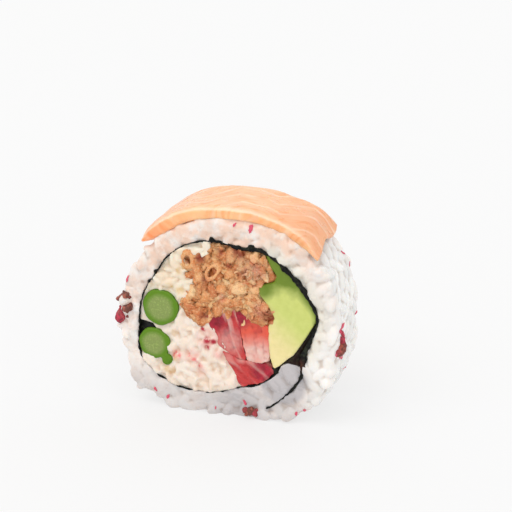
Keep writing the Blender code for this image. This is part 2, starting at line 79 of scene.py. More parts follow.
# Nori: thickness and how far its front edge stands out, at angles along the spiral, in mm
NORI_PROFILE = (
    (-65, 0.5, 0.2), (-53, 0.3, 0.2), (-41, 0.45, 0.25), (-31, 1.0, 0.35), (-22, 1.25, 0.25), (-12, 1.0, 0.25),
    (2, 0.35, 0.2), (12, 0.5, 0.25), (22, 0.75, 0.3), (30, 0.9, 0.3), (45, 0.8, 0.3), (60, 0.35, 0.25), (70, 0.8, 0.35),
    (82, 0.95, 0.35), (92, 0.35, 0.25), (100, 0.35, 0.25), (106, 0.18, 0.2), (122, 0.2, 0.2), (142, 0.22, 0.2),
    (158, 0.18, 0.2), (170, 0.2, 0.2), (182, 0.24, 0.2), (197, 0.18, 0.1), (206, 0.18, 0.1), (214, 0.18, 0.0),
    (217, 0.18, -0.9), (220, 0.18, 0.0), (226, 0.18, 0.0), (228, 0.18, -0.9), (232, 0.18, -0.8), (235, 0.18, 0.0),
    (243, 0.2, 0.0), (245, 0.16, -0.9), (252, 0.16, -0.9), (255, 0.26, 0.0), (259, 0.26, 0.0), (262, 0.14, -0.9),
    (266, 0.22, 0.0), (270, 0.22, -0.1), (273, 0.12, -0.9), (279, 0.24, -0.1), (284, 0.14, -0.9), (288, 0.24, -0.2),
    (300, 0.2, -0.3), (310, 0.24, -0.3), (317, 0.24, -0.3),
)  # fmt: skip
NORI_SPIKES = ((100, 1.1), (72, 1.3), (149, 0.5), (158, 0.4), (27, 0.5))  # angle, and how far the edge is torn, mm

# Fillings
ASPARAGUS = {"asparagus_upper": (-15.5, 23.8, 4.1), "asparagus_lower": (-17.1, 15.1, 3.55)}
SCALE_LEAF = (-14.1, 11.5, 1.3)
AVOCADO_EDGE = (63, 7)
AVOCADO_CUT = (
    (18.1, 20.7), (15.4, 16.2), (13.2, 14.3), (11.8, 13.0), (10.7, 12.3), (9.7, 15.2), (9.3, 19.2),
    (9.4, 22.4), (11.0, 24.2), (9.9, 26.1), (8.7, 27.9), (7.3, 29.4), (7.3, 31.0), (8.7, 32.0),
    (10.7, 32.7), (11.3, 34.2), (10.0, 35.8),
)  # fmt: skip
STRAWBERRIES = {
    "strawberry_left": (
        (-4.9, 23.0), (-3.5, 24.5), (-1.1, 25.2), (0.6, 26.3), (1.9, 24.9), (2.7, 21.9), (3.4, 18.5),
        (4.0, 15.7), (4.5, 13.7), (2.9, 13.6), (0.8, 14.4), (-1.0, 15.4), (-2.2, 16.6), (-2.3, 18.4),
        (-3.9, 20.2),
    ),
    "strawberry_right": (
        (1.9, 25.0), (4.9, 24.7), (6.4, 23.6), (8.0, 22.4), (9.6, 22.0), (9.7, 18.0), (9.6, 14.2),
        (7.4, 13.4), (4.8, 13.5), (3.9, 16.0), (3.2, 18.9), (2.5, 21.9),
    ),
    "strawberry_lower": (
        (-1.4, 15.3), (0.9, 14.3), (3.0, 13.6), (4.9, 13.4), (7.2, 13.3), (9.0, 13.1), (10.6, 12.0),
        (10.4, 10.9), (8.4, 9.0), (5.7, 7.7), (3.5, 7.1), (2.1, 8.5), (1.1, 10.6), (-0.2, 13.0),
    ),
}  # fmt: skip
ONION_EDGE = (104, 64)
ONION_INNER = (
    (9.2, 37.0), (10.2, 35.5), (11.0, 34.1), (10.4, 33.0), (8.3, 32.4), (6.9, 31.0), (7.0, 29.3),
    (8.6, 27.4), (11.6, 25.0), (11.9, 23.7), (9.8, 21.8), (6.3, 22.4), (4.4, 23.6), (2.2, 23.8),
    (-1.0, 23.4), (-3.2, 22.4), (-4.3, 21.4), (-5.2, 19.0), (-7.0, 19.4), (-8.8, 20.9), (-10.3, 23.6),
    (-10.3, 26.6), (-8.7, 28.4), (-9.0, 31.4), (-10.9, 33.2), (-11.0, 36.8), (-9.0, 38.2), (-6.4, 37.4),
    (-5.2, 38.4),
)  # fmt: skip
CRAB_EDGE = (282, 102)
CRAB_INNER = ((-3.0, 33.0), (-6.0, 27.0), (-5.0, 22.0), (-1.0, 19.0), (1.0, 14.0), (3.2, 8.4))

SEED = 7


def colour(red, green, blue):
    """A linear colour from its 0 to 255 display values."""
    shares = [c / 255 for c in (red, green, blue)]
    return tuple(((c + 0.055) / 1.055) ** 2.4 if c > 0.04 else c / 12.92 for c in shares)


def tint(name, description, default):
    """A colour property."""
    return FloatVectorProperty(
        name=name, description=description, default=default, size=3, min=0, max=1, subtype="COLOR"
    )


def length(name, description, default):
    """A length property in millimetre steps."""
    return FloatProperty(name=name, description=description, default=default, min=0, unit="LENGTH", precision=5)


class RiceSettings(bpy.types.PropertyGroup):
    grain_length: length("Grain length", "Length of a cooked grain", 6.0 * MM)
    grain_width: length("Grain width", "Width of a cooked grain", 2.7 * MM)
    side_grains: IntProperty(name="Side grains", description="Grains lying round the outside", default=215, min=0)
    face_grains: IntProperty(name="Face grains", description="Grains in each cut face", default=95, min=0)
    rim_grains: IntProperty(name="Rim grains", description="Grains in each face right under the fish", default=15, min=0)
    white: tint("White", "Colour of the rice", colour(241, 240, 237))
    # Painted light: warm light reflected from the fish, and warm painted shade, on the cut faces
    warm_reflection_and_shade: tint("Warm", "Colour of the rice beside the fish", colour(239, 209, 189))
    cream: tint("Cream", "Colour of the rice beside the avocado", colour(232, 226, 214))
    # This grey is partly the wet, see-through look of the lower rice and partly painted shade at the bottom of the cut
    # faces
    wet_grey_and_shade: tint("Grey", "Colour of the wet rice at the bottom", colour(192, 187, 188))
    crumb: tint("Crumb", "Colour of the dried berry", colour(200, 56, 78))
    bran: tint("Bran", "Colour of the dried berry's husk", colour(104, 52, 38))
    fleck: tint("Fleck", "Colour of the thin flecks of berry", colour(216, 84, 108))


class NoriSettings(bpy.types.PropertyGroup):
    dark: tint("Dark", "Colour of the seaweed", colour(9, 10, 8))
    green: tint("Green", "Colour of the seaweed's lighter specks", colour(40, 44, 30))
    brown: tint("Brown", "Colour of the seaweed where light shines through", colour(92, 46, 34))


class SalmonSettings(bpy.types.PropertyGroup):
    flesh: tint("Flesh", "Colour of the fish's upper side", colour(247, 193, 152))
    cut: tint("Cut edge", "Colour of the fish's cut edges", colour(255, 198, 144))
    tip: tint("Tip", "Colour of the fish's thick left end", colour(252, 168, 118))
    # This colour paints the fat lines and also the painted highlight along the fish's front ridge
    fat_and_highlight: tint("Fat", "Colour of the fat lines", colour(255, 234, 214))


class FillingSettings(bpy.types.PropertyGroup):
    stalk_rim: tint("Stalk rim", "Asparagus near its skin", colour(90, 132, 2))
    stalk_core: tint("Stalk core", "Asparagus pith", colour(132, 149, 80))
    avocado_skin: tint("Avocado rim", "Avocado near its skin", colour(102, 128, 16))
    avocado_flesh: tint("Avocado flesh", "Middle of the avocado", colour(205, 212, 122))
    avocado_heart: tint("Avocado heart", "Avocado near its stone", colour(238, 222, 164))
    berry: tint("Berry", "Strawberry skin side", colour(178, 32, 54))
    berry_light: tint("Light berry", "Strawberry flesh under the skin", colour(224, 92, 70))
    berry_pale: tint("Pale berry", "Strawberry core", colour(230, 194, 182))
    onion_gold: tint("Gold", "Fried onion", colour(227, 163, 107))
    onion_pale: tint("Pale gold", "Lightly fried onion", colour(243, 202, 152))
    onion_brown: tint("Brown", "Well fried onion", colour(201, 111, 56))
    onion_pink: tint("Rosy", "Onion stained by the berry", colour(207, 132, 106))
    # Dark gold paints the shade in the crevices and dark places, and also the fine dark grain of the fried onion
    onion_dark_and_shade: tint("Dark gold", "Crevices of the fried onion", colour(142, 60, 26))
    crab: tint("Crab", "Crab in mayonnaise", colour(238, 226, 214))
    crab_cream: tint("Cream", "Creamier crab at the top", colour(238, 226, 207))
    crab_pink: tint("Crab skin", "Coloured outside of the crab", colour(230, 128, 124))


# Lines of the section


def in_metres(points):
    return [(x * MM, z * MM) for x, z in points]


def polar(degrees, radius):
    """The point of the section at that angle and distance from its centre."""
    turn = math.radians(degrees)
    return radius * math.cos(turn), MIDDLE_Z + radius * math.sin(turn)


def rice_radius(degrees):
    """Distance from the section's centre to the rice outline."""
    turn = math.radians(degrees)
    c, s = math.cos(turn), math.sin(turn)
    power = OUTLINE_POWERS[int(degrees % 360 // 90)]
    height = RICE_TOP if s >= 0 else RICE_BOTTOM
    return ((abs(c) / HALF_WIDTH) ** power + (abs(s) / height) ** power) ** (-1 / power)


def catmull_rom(a, b, c, d, t):
    """The smooth value between b and c, with a and d on either side of them."""
    return b + 0.5 * t * (c - a + t * (2 * a - 5 * b + 4 * c - d + t * (3 * (b - c) + d - a)))


def nori_radius(degrees):
    """Radius of the nori's centreline at an angle that runs on from its outer end."""
    last = len(NORI_KNOTS) - 1
    i = next((k for k in range(last) if degrees < NORI_KNOTS[k + 1][0]), last - 1)
    t = (degrees - NORI_KNOTS[i][0]) / (NORI_KNOTS[i + 1][0] - NORI_KNOTS[i][0])
    around = [NORI_KNOTS[min(max(k, 0), last)][1] for k in range(i - 1, i + 3)]
    return catmull_rom(*around, t) * MM


def along_nori(start, end, offset, step=3.0):
    """Points beside the nori from one angle to another, moved outwards by offset."""
    count = max(2, round(abs(end - start) / step))
    angles = [start + (end - start) * k / count for k in range(count + 1)]
    return [polar(a, nori_radius(a) + offset) for a in angles]


def nori_band(half_thickness, overrun=0.0):
    """The nori's section as one closed loop."""
    start, end = NORI_KNOTS[0][0] - overrun, NORI_KNOTS[-1][0] + overrun
    return along_nori(start, end, half_thickness) + along_nori(start, end, -half_thickness)[::-1]


def filling_space():
    """The loop inside the nori that holds the fillings, closed by the tongue of rice."""
    return along_nori(TONGUE_ANGLE, NORI_KNOTS[-1][0], 0) + in_metres(TONGUE_TIP)[::-1]


def smooth_loop(points, parts=3):
    """A closed curve through the points."""
    n = len(points)
    loop = []
    for i in range(n):
        around = [points[(i + k) % n] for k in (-1, 0, 1, 2)]
        for t in range(parts):
            loop.append(tuple(catmull_rom(*(p[axis] for p in around), t / parts) for axis in (0, 1)))
    return loop


def edged_outline(edge, inner, offset=-0.2 * MM):
    """An outline that follows the nori's inside along one edge."""
    return along_nori(*edge, offset) + in_metres(inner)


def signed_area(outline):
    following = outline[1:] + outline[:1]
    return sum(a[0] * b[1] - b[0] * a[1] for a, b in zip(outline, following)) / 2


def grown(outline, distance):
    """The loop moved outwards by a distance, point by point along its normals."""
    side = math.copysign(1, signed_area(outline))
    n = len(outline)
    loop = []
    for i, (x, z) in enumerate(outline):
        before, after = Vector(outline[i - 1]), Vector(outline[(i + 1) % n])
        along = (after - before).normalized()
        loop.append((x + side * along.y * distance, z - side * along.x * distance))
    return loop


def inside(outline, x, z):
    """True if the point lies in the loop."""
    hit = False
    for (ax, az), (bx, bz) in zip(outline, outline[1:] + outline[:1]):
        if (az > z) != (bz > z) and x < ax + (z - az) * (bx - ax) / (bz - az):
            hit = not hit
    return hit


def edge_distance(points, outline):
    """Distance of each (x, z) from the nearest stretch of an open or closed line."""
    line = np.array(outline)
    a, b = line[:-1], line[1:]
    run = b - a
    best = np.full(len(points), 1.0)
    for start, step in zip(a, run):
        t = np.clip(((points - start) @ step) / max(step @ step, 1e-16), 0, 1)
        best = np.minimum(best, np.hypot(*(points - start - t[:, None] * step).T))
    return best


# Meshes


def deselect():
    if bpy.context.mode != "OBJECT":
        bpy.ops.object.mode_set(mode="OBJECT")
    bpy.ops.object.select_all(action="DESELECT")


def apply(obj, kind, **settings):
    """Adds one modifier and applies it."""
    modifier = obj.modifiers.new(kind.title(), kind)
    for key, value in settings.items():
        setattr(modifier, key, value)
    bpy.context.view_layer.objects.active = obj
    bpy.ops.object.modifier_apply(modifier=modifier.name)


def points_of(obj):
    co = np.empty(len(obj.data.vertices) * 3, np.float32)
    obj.data.vertices.foreach_get("co", co)
    return co.reshape(-1, 3).astype(float)


def set_points(obj, points):
    obj.data.vertices.foreach_set("co", np.asarray(points, np.float32).ravel())
    obj.data.update()


def triangles_of(obj):
    mesh = obj.data
    mesh.calc_loop_triangles()
    corners = np.empty(len(mesh.loop_triangles) * 3, np.int32)
    mesh.loop_triangles.foreach_get("vertices", corners)
    return corners.reshape(-1, 3)


def normals_of(obj):
    """Vertex normals summed here in a fixed order, because Blender's differ in the last digits each run."""
    points, faces = points_of(obj), triangles_of(obj)
    a, b, c = (points[faces[:, k]] for k in range(3))
    facing = np.cross(b - a, c - a)
    corners, weights = faces.T.ravel(), np.tile(facing, (3, 1))
    total = np.stack([np.bincount(corners, weights[:, k], len(points)) for k in range(3)], 1)
    return total / np.maximum(np.linalg.norm(total, axis=1, keepdims=True), 1e-30)


def in_fixed_order(obj):
    """Sorts the faces, because a remesh or a cut leaves them in another order each run."""
    faces = []
    for polygon in obj.data.polygons:
        corners = list(polygon.vertices)
        first = corners.index(min(corners))
        faces.append(corners[first:] + corners[:first])
    points = points_of(obj)
    obj.data.clear_geometry()
    obj.data.from_pydata(points.tolist(), [], sorted(faces))
    obj.data.update()


def mesh_object(name, points, faces):
    """An object from point and triangle arrays."""
    mesh = bpy.data.meshes.new(name)
    mesh.from_pydata(np.asarray(points).tolist(), [], np.asarray(faces).tolist())
    mesh.update()
    obj = bpy.data.objects.new(name, mesh)
    bpy.context.scene.collection.objects.link(obj)
    return obj


def mark(obj, name, values):
    """Stores one number at each vertex for the material to read."""
    found = obj.data.attributes.get(name) or obj.data.attributes.new(name, "FLOAT", "POINT")
    found.data.foreach_set("value", np.asarray(values, np.float32))


def smoothstep(values, low, high):
    t = np.clip((values - low) / (high - low), 0, 1)
    return t * t * (3 - 2 * t)


def noise_at(points, scale, seed=0.0):
    """Smooth noise from -1 to 1 at each point, with swells about 1/scale long."""
    offset = np.array((seed * 3.1, seed * 7.7, seed * 5.3))
    return np.array([noise.noise(p) for p in (points * scale + offset).tolist()])


def relaxed(obj, rounds):
    """Vertex positions after so many rounds of averaging with their neighbours."""
    mesh = obj.data
    n = len(mesh.vertices)
    ends = np.empty(len(mesh.edges) * 2, np.int32)
    mesh.edges.foreach_get("vertices", ends)
    a, b = ends.reshape(-1, 2).T
    count = np.maximum(np.bincount(a, minlength=n) + np.bincount(b, minlength=n), 1)
    points = points_of(obj)
    for _ in range(rounds):
        sums = [
            np.bincount(a, points[b, k], n) + np.bincount(b, points[a, k], n) for k in range(3)
        ]
        points = np.stack(sums, 1) / count[:, None]
    return points


def hollowness(obj, rounds, depth):
    """How deep each vertex lies below its surroundings, as a share of depth from -1 to 1."""
    sunk = ((relaxed(obj, rounds) - points_of(obj)) * normals_of(obj)).sum(1)
    return np.clip(sunk / depth, -1, 1)


def remesh(obj, voxel, rounds=2, factor=0.5):
    """One closed skin round everything in the object, then smoothed."""
    apply(obj, "REMESH", mode="VOXEL", voxel_size=voxel, use_smooth_shade=True)
    in_fixed_order(obj)
    if rounds:
        apply(obj, "SMOOTH", factor=factor, iterations=rounds)


def drop_specks(obj, least):
    """Deletes the separate bodies with fewer vertices than that, which a remesh leaves of thin things."""
    ends = np.empty(len(obj.data.edges) * 2, np.int32)
    obj.data.edges.foreach_get("vertices", ends)
    a, b = ends.reshape(-1, 2).T
    body, before = np.arange(len(obj.data.vertices)), None
    while before is None or (body != before).any():
        before = body.copy()
        lower = np.minimum(before[a], before[b])
        np.minimum.at(body, a, lower)
        np.minimum.at(body, b, lower)
        body = body[body]
    size = np.bincount(body)[body]
    deselect()
    obj.select_set(True)
    bpy.context.view_layer.objects.active = obj
    for elements in (obj.data.edges, obj.data.polygons):
        elements.foreach_set("select", np.zeros(len(elements), bool))  # or edit mode selects their corners too
    obj.data.vertices.foreach_set("select", size < least)
    bpy.ops.object.mode_set(mode="EDIT")
    bpy.ops.mesh.select_mode(type="VERT")
    bpy.ops.mesh.delete(type="VERT")
    bpy.ops.object.mode_set(mode="OBJECT")


def outlined_block(name, outline, front=FRONT, back=BACK):
    """A straight block: a filled circle drawn out to the outline, then extruded along Y."""
    deselect()
    bpy.ops.mesh.primitive_circle_add(vertices=len(outline), radius=MM, fill_type="NGON")
    obj = bpy.context.active_object
    obj.name = obj.data.name = name
    for vertex, (x, z) in zip(obj.data.vertices, outline):
        vertex.co = (x, front, z)
    obj.data.update()
    bpy.ops.object.mode_set(mode="EDIT")
    bpy.ops.mesh.select_all(action="SELECT")
    bpy.ops.mesh.extrude_region_move(TRANSFORM_OT_translate={"value": (0, back - front, 0)})
    bpy.ops.mesh.select_all(action="SELECT")
    bpy.ops.mesh.normals_make_consistent(inside=False)
    bpy.ops.object.mode_set(mode="OBJECT")
    return obj


def join(name, objects):
    """Joins several objects into one mesh and gives it the name."""
    deselect()
    for obj in objects:
        obj.select_set(True)
    bpy.context.view_layer.objects.active = objects[0]
    if len(objects) > 1:
        bpy.ops.object.join()
    joined = bpy.context.active_object
    joined.name = joined.data.name = name
    return joined


def cut_away(obj, outline, grow=0.0):
    """Cuts a straight hole of that outline through the whole depth."""
    tool = outlined_block("cutter", grown(outline, grow), FRONT - 4 * MM, BACK + 4 * MM)
    apply(obj, "BOOLEAN", operation="DIFFERENCE", solver="MANIFOLD", object=tool)
    in_fixed_order(obj)
    bpy.data.objects.remove(tool)


def prototype(kind, size, rough=0.0, bend=0.0, seed=0):
    """A small closed shape of the given size as point and triangle arrays: grain, lump or ring."""
    deselect()
    if kind == "ring":
        bpy.ops.mesh.primitive_torus_add(
            major_radius=0.37, minor_radius=0.13, major_segments=18, minor_segments=8
        )
    else:
        segments, rings = (10, 7) if kind == "grain" else (8, 6)
        bpy.ops.mesh.primitive_uv_sphere_add(segments=segments, ring_count=rings, radius=0.5)
    obj = bpy.context.active_object
    points = points_of(obj)
    if kind == "grain":
        points[:, :2] *= (1 - np.abs(points[:, 2:]) ** 3 * 1.5) * 1.06
    if rough:
        points *= 1 + rough * noise_at(points, 2.6, seed)[:, None]
    points[:, 0] += bend * points[:, 2] ** 2
    set_points(obj, points * np.array(size))
    shape = points_of(obj), triangles_of(obj).copy()
    bpy.data.objects.remove(obj)
    return shape


class Scatter:
    """Copies of prototypes gathered into one mesh, which remembers the copy that each triangle is from."""

    def __init__(self):
        self.points, self.faces, self.owner = [], [], []
        self.placed = 0
        self.count = 0

    def add(self, shape, matrix):
        points, faces = shape
        turn = np.array(matrix.to_3x3())
        self.points.append(points @ turn.T + np.array(matrix.translation))
        self.faces.append(faces + self.placed)
        self.owner.append(np.full(len(faces), self.count))
        self.placed += len(points)
        self.count += 1

    def arrays(self):
        return np.concatenate(self.points), np.concatenate(self.faces), np.concatenate(self.owner)

    def object(self, name):
        points, faces, _ = self.arrays()
        return mesh_object(name, points, faces)

    def owners_at(self, targets):
        """The copy nearest to each point, and how far off it is."""
        points, faces, owner = self.arrays()
        tree = BVHTree.FromPolygons(points.tolist(), faces.tolist(), all_triangles=True)
        found = [tree.find_nearest(p) for p in targets.tolist()]
        return owner[[f[2] for f in found]], np.array([f[3] for f in found])


def lying_matrix(place, outward, spin, tilt, scale=1.0):
    """Places a shape whose long axis is Z flat on a surface, spun about its normal and tilted out of it."""
    facing = outward.to_track_quat("X", "Z").to_matrix().to_4x4()
    turn = Matrix.Rotation(spin, 4, "X") @ Matrix.Rotation(tilt, 4, "Y")
    return Matrix.Translation(place) @ facing @ turn @ Matrix.Scale(scale, 4)


def spots(outline, spacing, draw, holes=(), margin=0.0):
    """Unevenly spread points in an outline, about one spacing apart."""
    xs, zs = zip(*outline)
    room = grown(outline, -margin) if margin else outline
    rows = int((max(zs) - min(zs)) / (spacing * 0.87)) + 2
    columns = int((max(xs) - min(xs)) / spacing) + 2
    found = []
    for j in range(rows):
        for i in range(columns):
            x = min(xs) + (i + 0.5 * (j % 2) + draw.uniform(-0.32, 0.32)) * spacing
            z = min(zs) + (j + draw.uniform(-0.32, 0.32)) * spacing * 0.87
            if inside(room, x, z) and not any(inside(hole, x, z) for hole in holes):
                found.append((x, z))
    return found


def finish_piece(obj, slot, look, *nodes):
    """Gives a piece its material, its place in the model and the solids that it stands for."""
    obj.data.materials.clear()
    obj.data.materials.append(look.material)
    obj.data.polygons.foreach_set("use_smooth", [True] * len(obj.data.polygons))
    obj.data.update()
    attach(obj, BODY)
    if nodes:
        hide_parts(*nodes)
    return obj


# Materials


class Look:
    """One material's nodes."""

    def __init__(self, name, **shader):
        self.material = bpy.data.materials.new(name)
        self.material.use_nodes = True
        self.tree = self.material.node_tree
        self.shader = self.tree.nodes["Principled BSDF"]
        self.fill(self.shader, {key.replace("_", " "): value for key, value in shader.items()})
        self.place = self.node("ShaderNodeTexCoord").outputs["Object"]

    def fill(self, node, inputs):
        for key, value in inputs.items():
            if isinstance(value, bpy.types.NodeSocket):
                self.tree.links.new(value, node.inputs[key])
            else:
                node.inputs[key].default_value = value

    def node(self, kind, inputs=None, **settings):
        made = self.tree.nodes.new(kind)
        for key, value in settings.items():
            setattr(made, key, value)
        self.fill(made, inputs or {})
        return made

    def attribute(self, name):
        return self.node("ShaderNodeAttribute", attribute_name=name).outputs["Fac"]

    def mix(self, a, b, factor, blend="MIX"):
        a, b = (c if isinstance(c, bpy.types.NodeSocket) else (*c, 1)[:4] for c in (a, b))
        made = self.node("ShaderNodeMix", {0: factor, 6: a, 7: b}, data_type="RGBA", blend_type=blend)
        return made.outputs[2]

    def math(self, operation, a, b=0.0, clamp=False):
        made = self.node("ShaderNodeMath", {0: a, 1: b}, operation=operation, use_clamp=clamp)
        return made.outputs[0]

    def remap(self, value, low, high, to_low=0.0, to_high=1.0):
        inputs = {"Value": value, "From Min": low, "From Max": high, "To Min": to_low, "To Max": to_high}
        return self.node("ShaderNodeMapRange", inputs, clamp=True).outputs[0]

    def turned(self, rotation=(0, 0, 0), scale=(1, 1, 1), centre=(0, 0, 0)):
        """Object coordinates centred on a point, turned and scaled."""
        moved = self.node("ShaderNodeVectorMath", {0: self.place, 1: centre}, operation="SUBTRACT").outputs[0]
        return self.node("ShaderNodeMapping", {"Vector": moved, "Rotation": rotation, "Scale": scale}).outputs[0]

    def noise(self, scale, detail=3.0, rough=0.5, vector=None, distortion=0.0):
        inputs = {
            "Vector": vector or self.place, "Scale": scale, "Detail": detail, "Roughness": rough,
            "Distortion": distortion,
        }  # fmt: skip
        return self.node("ShaderNodeTexNoise", inputs).outputs["Fac"]

    def mottle(self, scale, low=0.35, high=0.65, vector=None):
        """A patchy mask from the shared group."""
        made = self.node("ShaderNodeGroup", node_tree=mottle_group())
        self.fill(made, {"Vector": vector or self.place, "Scale": scale, "Low": low, "High": high})
        return made.outputs["Mask"]

    def moist(self, scale, depth, low, high):
        """Fine relief and patchy wetness: drives Normal and Roughness."""
        made = self.node("ShaderNodeGroup", node_tree=moist_group())
        self.fill(made, {"Vector": self.place, "Scale": scale, "Dry": high, "Wet": low})
        bump = self.node("ShaderNodeBump", {"Height": made.outputs["Height"], "Strength": 1.0, "Distance": depth})
        self.fill(self.shader, {"Roughness": made.outputs["Roughness"], "Normal": bump.outputs[0]})

    def paint(self, value):
        self.fill(self.shader, {"Base Color": value})

    def flesh(self, weight, radius, scale):
        """Light that passes a little way through the food."""
        self.fill(
            self.shader,
            {"Subsurface Weight": weight, "Subsurface Radius": radius, "Subsurface Scale": scale},
        )


def new_group(name, inputs, outputs):
    """A shader node group with named sockets, and its two end nodes."""
    group = bpy.data.node_groups.new(name, "ShaderNodeTree")
    for direction, sockets in (("INPUT", inputs), ("OUTPUT", outputs)):
        for key, (kind, default) in sockets.items():
            socket = group.interface.new_socket(name=key, in_out=direction, socket_type=f"NodeSocket{kind}")
            if default is not None:
                socket.default_value = default
    return group, group.nodes.new("NodeGroupInput"), group.nodes.new("NodeGroupOutput")


def mottle_group():
    """Soft patches: noise cut between two levels."""
    found = bpy.data.node_groups.get("Mottle")
    if found:
        return found
    inputs = {"Vector": ("Vector", None), "Scale": ("Float", 300.0), "Low": ("Float", 0.35), "High": ("Float", 0.65)}
    group, entry, leave = new_group("Mottle", inputs, {"Mask": ("Float", None)})
    cloud = group.nodes.new("ShaderNodeTexNoise")
    cloud.inputs["Detail"].default_value = 3.0
    levels = group.nodes.new("ShaderNodeMapRange")
    links = group.links
    links.new(entry.outputs["Vector"], cloud.inputs["Vector"])
    links.new(entry.outputs["Scale"], cloud.inputs["Scale"])
    links.new(cloud.outputs["Fac"], levels.inputs["Value"])
    links.new(entry.outputs["Low"], levels.inputs["From Min"])
    links.new(entry.outputs["High"], levels.inputs["From Max"])
    links.new(levels.outputs[0], leave.inputs["Mask"])
    return group


def moist_group():
    """Fine relief and a roughness that drifts between wet and dry."""
    found = bpy.data.node_groups.get("Moist surface")
    if found:
        return found
    inputs = {"Vector": ("Vector", None), "Scale": ("Float", 900.0), "Wet": ("Float", 0.25), "Dry": ("Float", 0.5)}
    group, entry, leave = new_group(
        "Moist surface", inputs, {"Height": ("Float", None), "Roughness": ("Float", None)}
    )
    fine = group.nodes.new("ShaderNodeTexNoise")
    fine.inputs["Detail"].default_value = 4.0
    fine.inputs["Roughness"].default_value = 0.6
    patches = group.nodes.new("ShaderNodeTexNoise")
    patches.inputs["Detail"].default_value = 2.0
    slower = group.nodes.new("ShaderNodeMath")
    slower.operation = "MULTIPLY"
    slower.inputs[1].default_value = 0.4
    levels = group.nodes.new("ShaderNodeMapRange")
    levels.inputs["From Min"].default_value = 0.35
    levels.inputs["From Max"].default_value = 0.65
    links = group.links
    links.new(entry.outputs["Vector"], fine.inputs["Vector"])
    links.new(entry.outputs["Vector"], patches.inputs["Vector"])
    links.new(entry.outputs["Scale"], fine.inputs["Scale"])
    links.new(entry.outputs["Scale"], slower.inputs[0])
    links.new(slower.outputs[0], patches.inputs["Scale"])
    links.new(patches.outputs["Fac"], levels.inputs["Value"])
    links.new(entry.outputs["Wet"], levels.inputs["To Min"])
    links.new(entry.outputs["Dry"], levels.inputs["To Max"])
    links.new(fine.outputs["Fac"], leave.inputs["Height"])
    links.new(levels.outputs[0], leave.inputs["Roughness"])
    return group


# Rice

SALMON_LEFT = 138.0
SALMON_RIGHT_FRONT = 37.0
SALMON_RIGHT_BACK = 42.0
RICE_VOXEL = 0.29 * MM
CORE_INSET = 0.8 * MM
COVERED_INSET = -0.2 * MM
CUT_INSET = 0.4 * MM
CUT_STAND = 0.12 * MM
CUT_SQUASH = 0.55
TONGUE_GRAINS = (  # x, z, degrees from +X and scale, in mm
    (14.6, 11.4, 52, 1.5), (11.6, 8.7, 38, 1.4), (16.6, 9.2, 55, 0.9), (13.4, 6.0, 38, 0.95),
    (7.6, 5.9, 18, 1.3), (9.6, 4.2, 14, 1.0), (2.6, 4.6, 4, 1.3), (-2.6, 4.3, -3, 1.2), (-7.8, 4.8, -12, 1.2),
)  # fmt: skip


def rice_outline(step=4):
    """The outline of the rice under its outer grains, and closer to the real one under the fish."""
    loop = []
    for degrees in range(0, 360, step):
        covered = SALMON_RIGHT_BACK + 4 < degrees < SALMON_LEFT - 4
        loop.append(polar(degrees, rice_radius(degrees) - (COVERED_INSET if covered else CORE_INSET)))
    return loop


def face_grain(side, x, z, half, spin, tilt, scale, seat):
    """The place of a grain lying in a cut face."""
    out = math.copysign(1, side)
    place = (x, side - out * half * scale * seat, z)
    return lying_matrix(place, Vector((0, out, 0)), -out * spin, tilt, scale)


def scatter_grains(settings, draw):
    """Grains lying round the outside and in both cut faces."""
    size = (settings.grain_width, settings.grain_width, settings.grain_length)
    shapes = [prototype("grain", size, 0.05, bend, seed) for seed, bend in enumerate((0.1, 0.25, -0.2, 0.3))]
    half = settings.grain_width / 2
    grains = Scatter()
    start, end = SALMON_LEFT - 6, 360 + SALMON_RIGHT_BACK + 4
    golden = (math.sqrt(5) - 1) / 2
    for k in range(settings.side_grains):
        degrees = start + (end - start) * (k + 0.5) / settings.side_grains
        y = FRONT + DEPTH * (0.03 + 0.94 * ((k * golden) % 1))
        right_end = SALMON_RIGHT_FRONT + (SALMON_RIGHT_BACK - SALMON_RIGHT_FRONT) * (y - FRONT) / DEPTH
        if degrees < SALMON_LEFT - 2 or degrees - 360 > right_end:
            continue
        x, z = polar(degrees, rice_radius(degrees) - half * draw.uniform(0.8, 0.95))
        turn = math.radians(degrees)
        outward = Vector((math.cos(turn), 0, math.sin(turn)))
        spin = draw.uniform(0, math.pi)
        matrix = lying_matrix((x, y, z), outward, spin, draw.uniform(-0.12, 0.12), draw.uniform(1.0, 1.2))
        grains.add(draw.choice(shapes), matrix)
    for side in (FRONT, BACK):
        for k in range(settings.face_grains):
            degrees = -50 + 360 * (k + 0.5) / settings.face_grains
            inner = nori_radius(degrees) + 0.3 * settings.grain_width
            outer = rice_radius(degrees) - 0.6 * settings.grain_width
            x, z = polar(degrees, inner + (outer - inner) * ((k * golden) % 1))
            along = -math.radians(degrees) + (0 if k % 3 else math.pi / 2)
            spin, tilt, scale = along + draw.uniform(-0.6, 0.6), draw.uniform(-0.2, 0.2), draw.uniform(0.9, 1.15)
            matrix = face_grain(side, x, z, half, spin, tilt, scale, draw.uniform(0.6, 0.85))
            grains.add(draw.choice(shapes), matrix)
        first = SALMON_RIGHT_FRONT + 7
        for k in range(settings.rim_grains):
            degrees = first + (SALMON_LEFT - first) * (k + 0.5) / settings.rim_grains
            x, z = polar(degrees, rice_radius(degrees) - half * draw.uniform(0.9, 1.3))
            spin = draw.uniform(-0.4, 0.4) - math.radians(degrees)
            matrix = face_grain(side, x, z, half, spin, 0, draw.uniform(0.9, 1.1), draw.uniform(0.6, 0.8))
            grains.add(draw.choice(shapes), matrix)
        for x, z, turn, scale in TONGUE_GRAINS:
            matrix = face_grain(side, x * MM, z * MM, half, math.radians(90 - turn), 0, scale, 0.75)
            grains.add(shapes[0], matrix)
    return grains


def cut_faces(obj, stand, squash):
    """Presses everything that sticks out of the two cut faces back, as a knife leaves it."""
    points = points_of(obj)
    for side in (FRONT - stand, BACK + stand):
        out = math.copysign(1, side)
        past = np.maximum(0, (points[:, 1] - side) * out)
        points[:, 1] -= out * past * (1 - squash)
    set_points(obj, points)


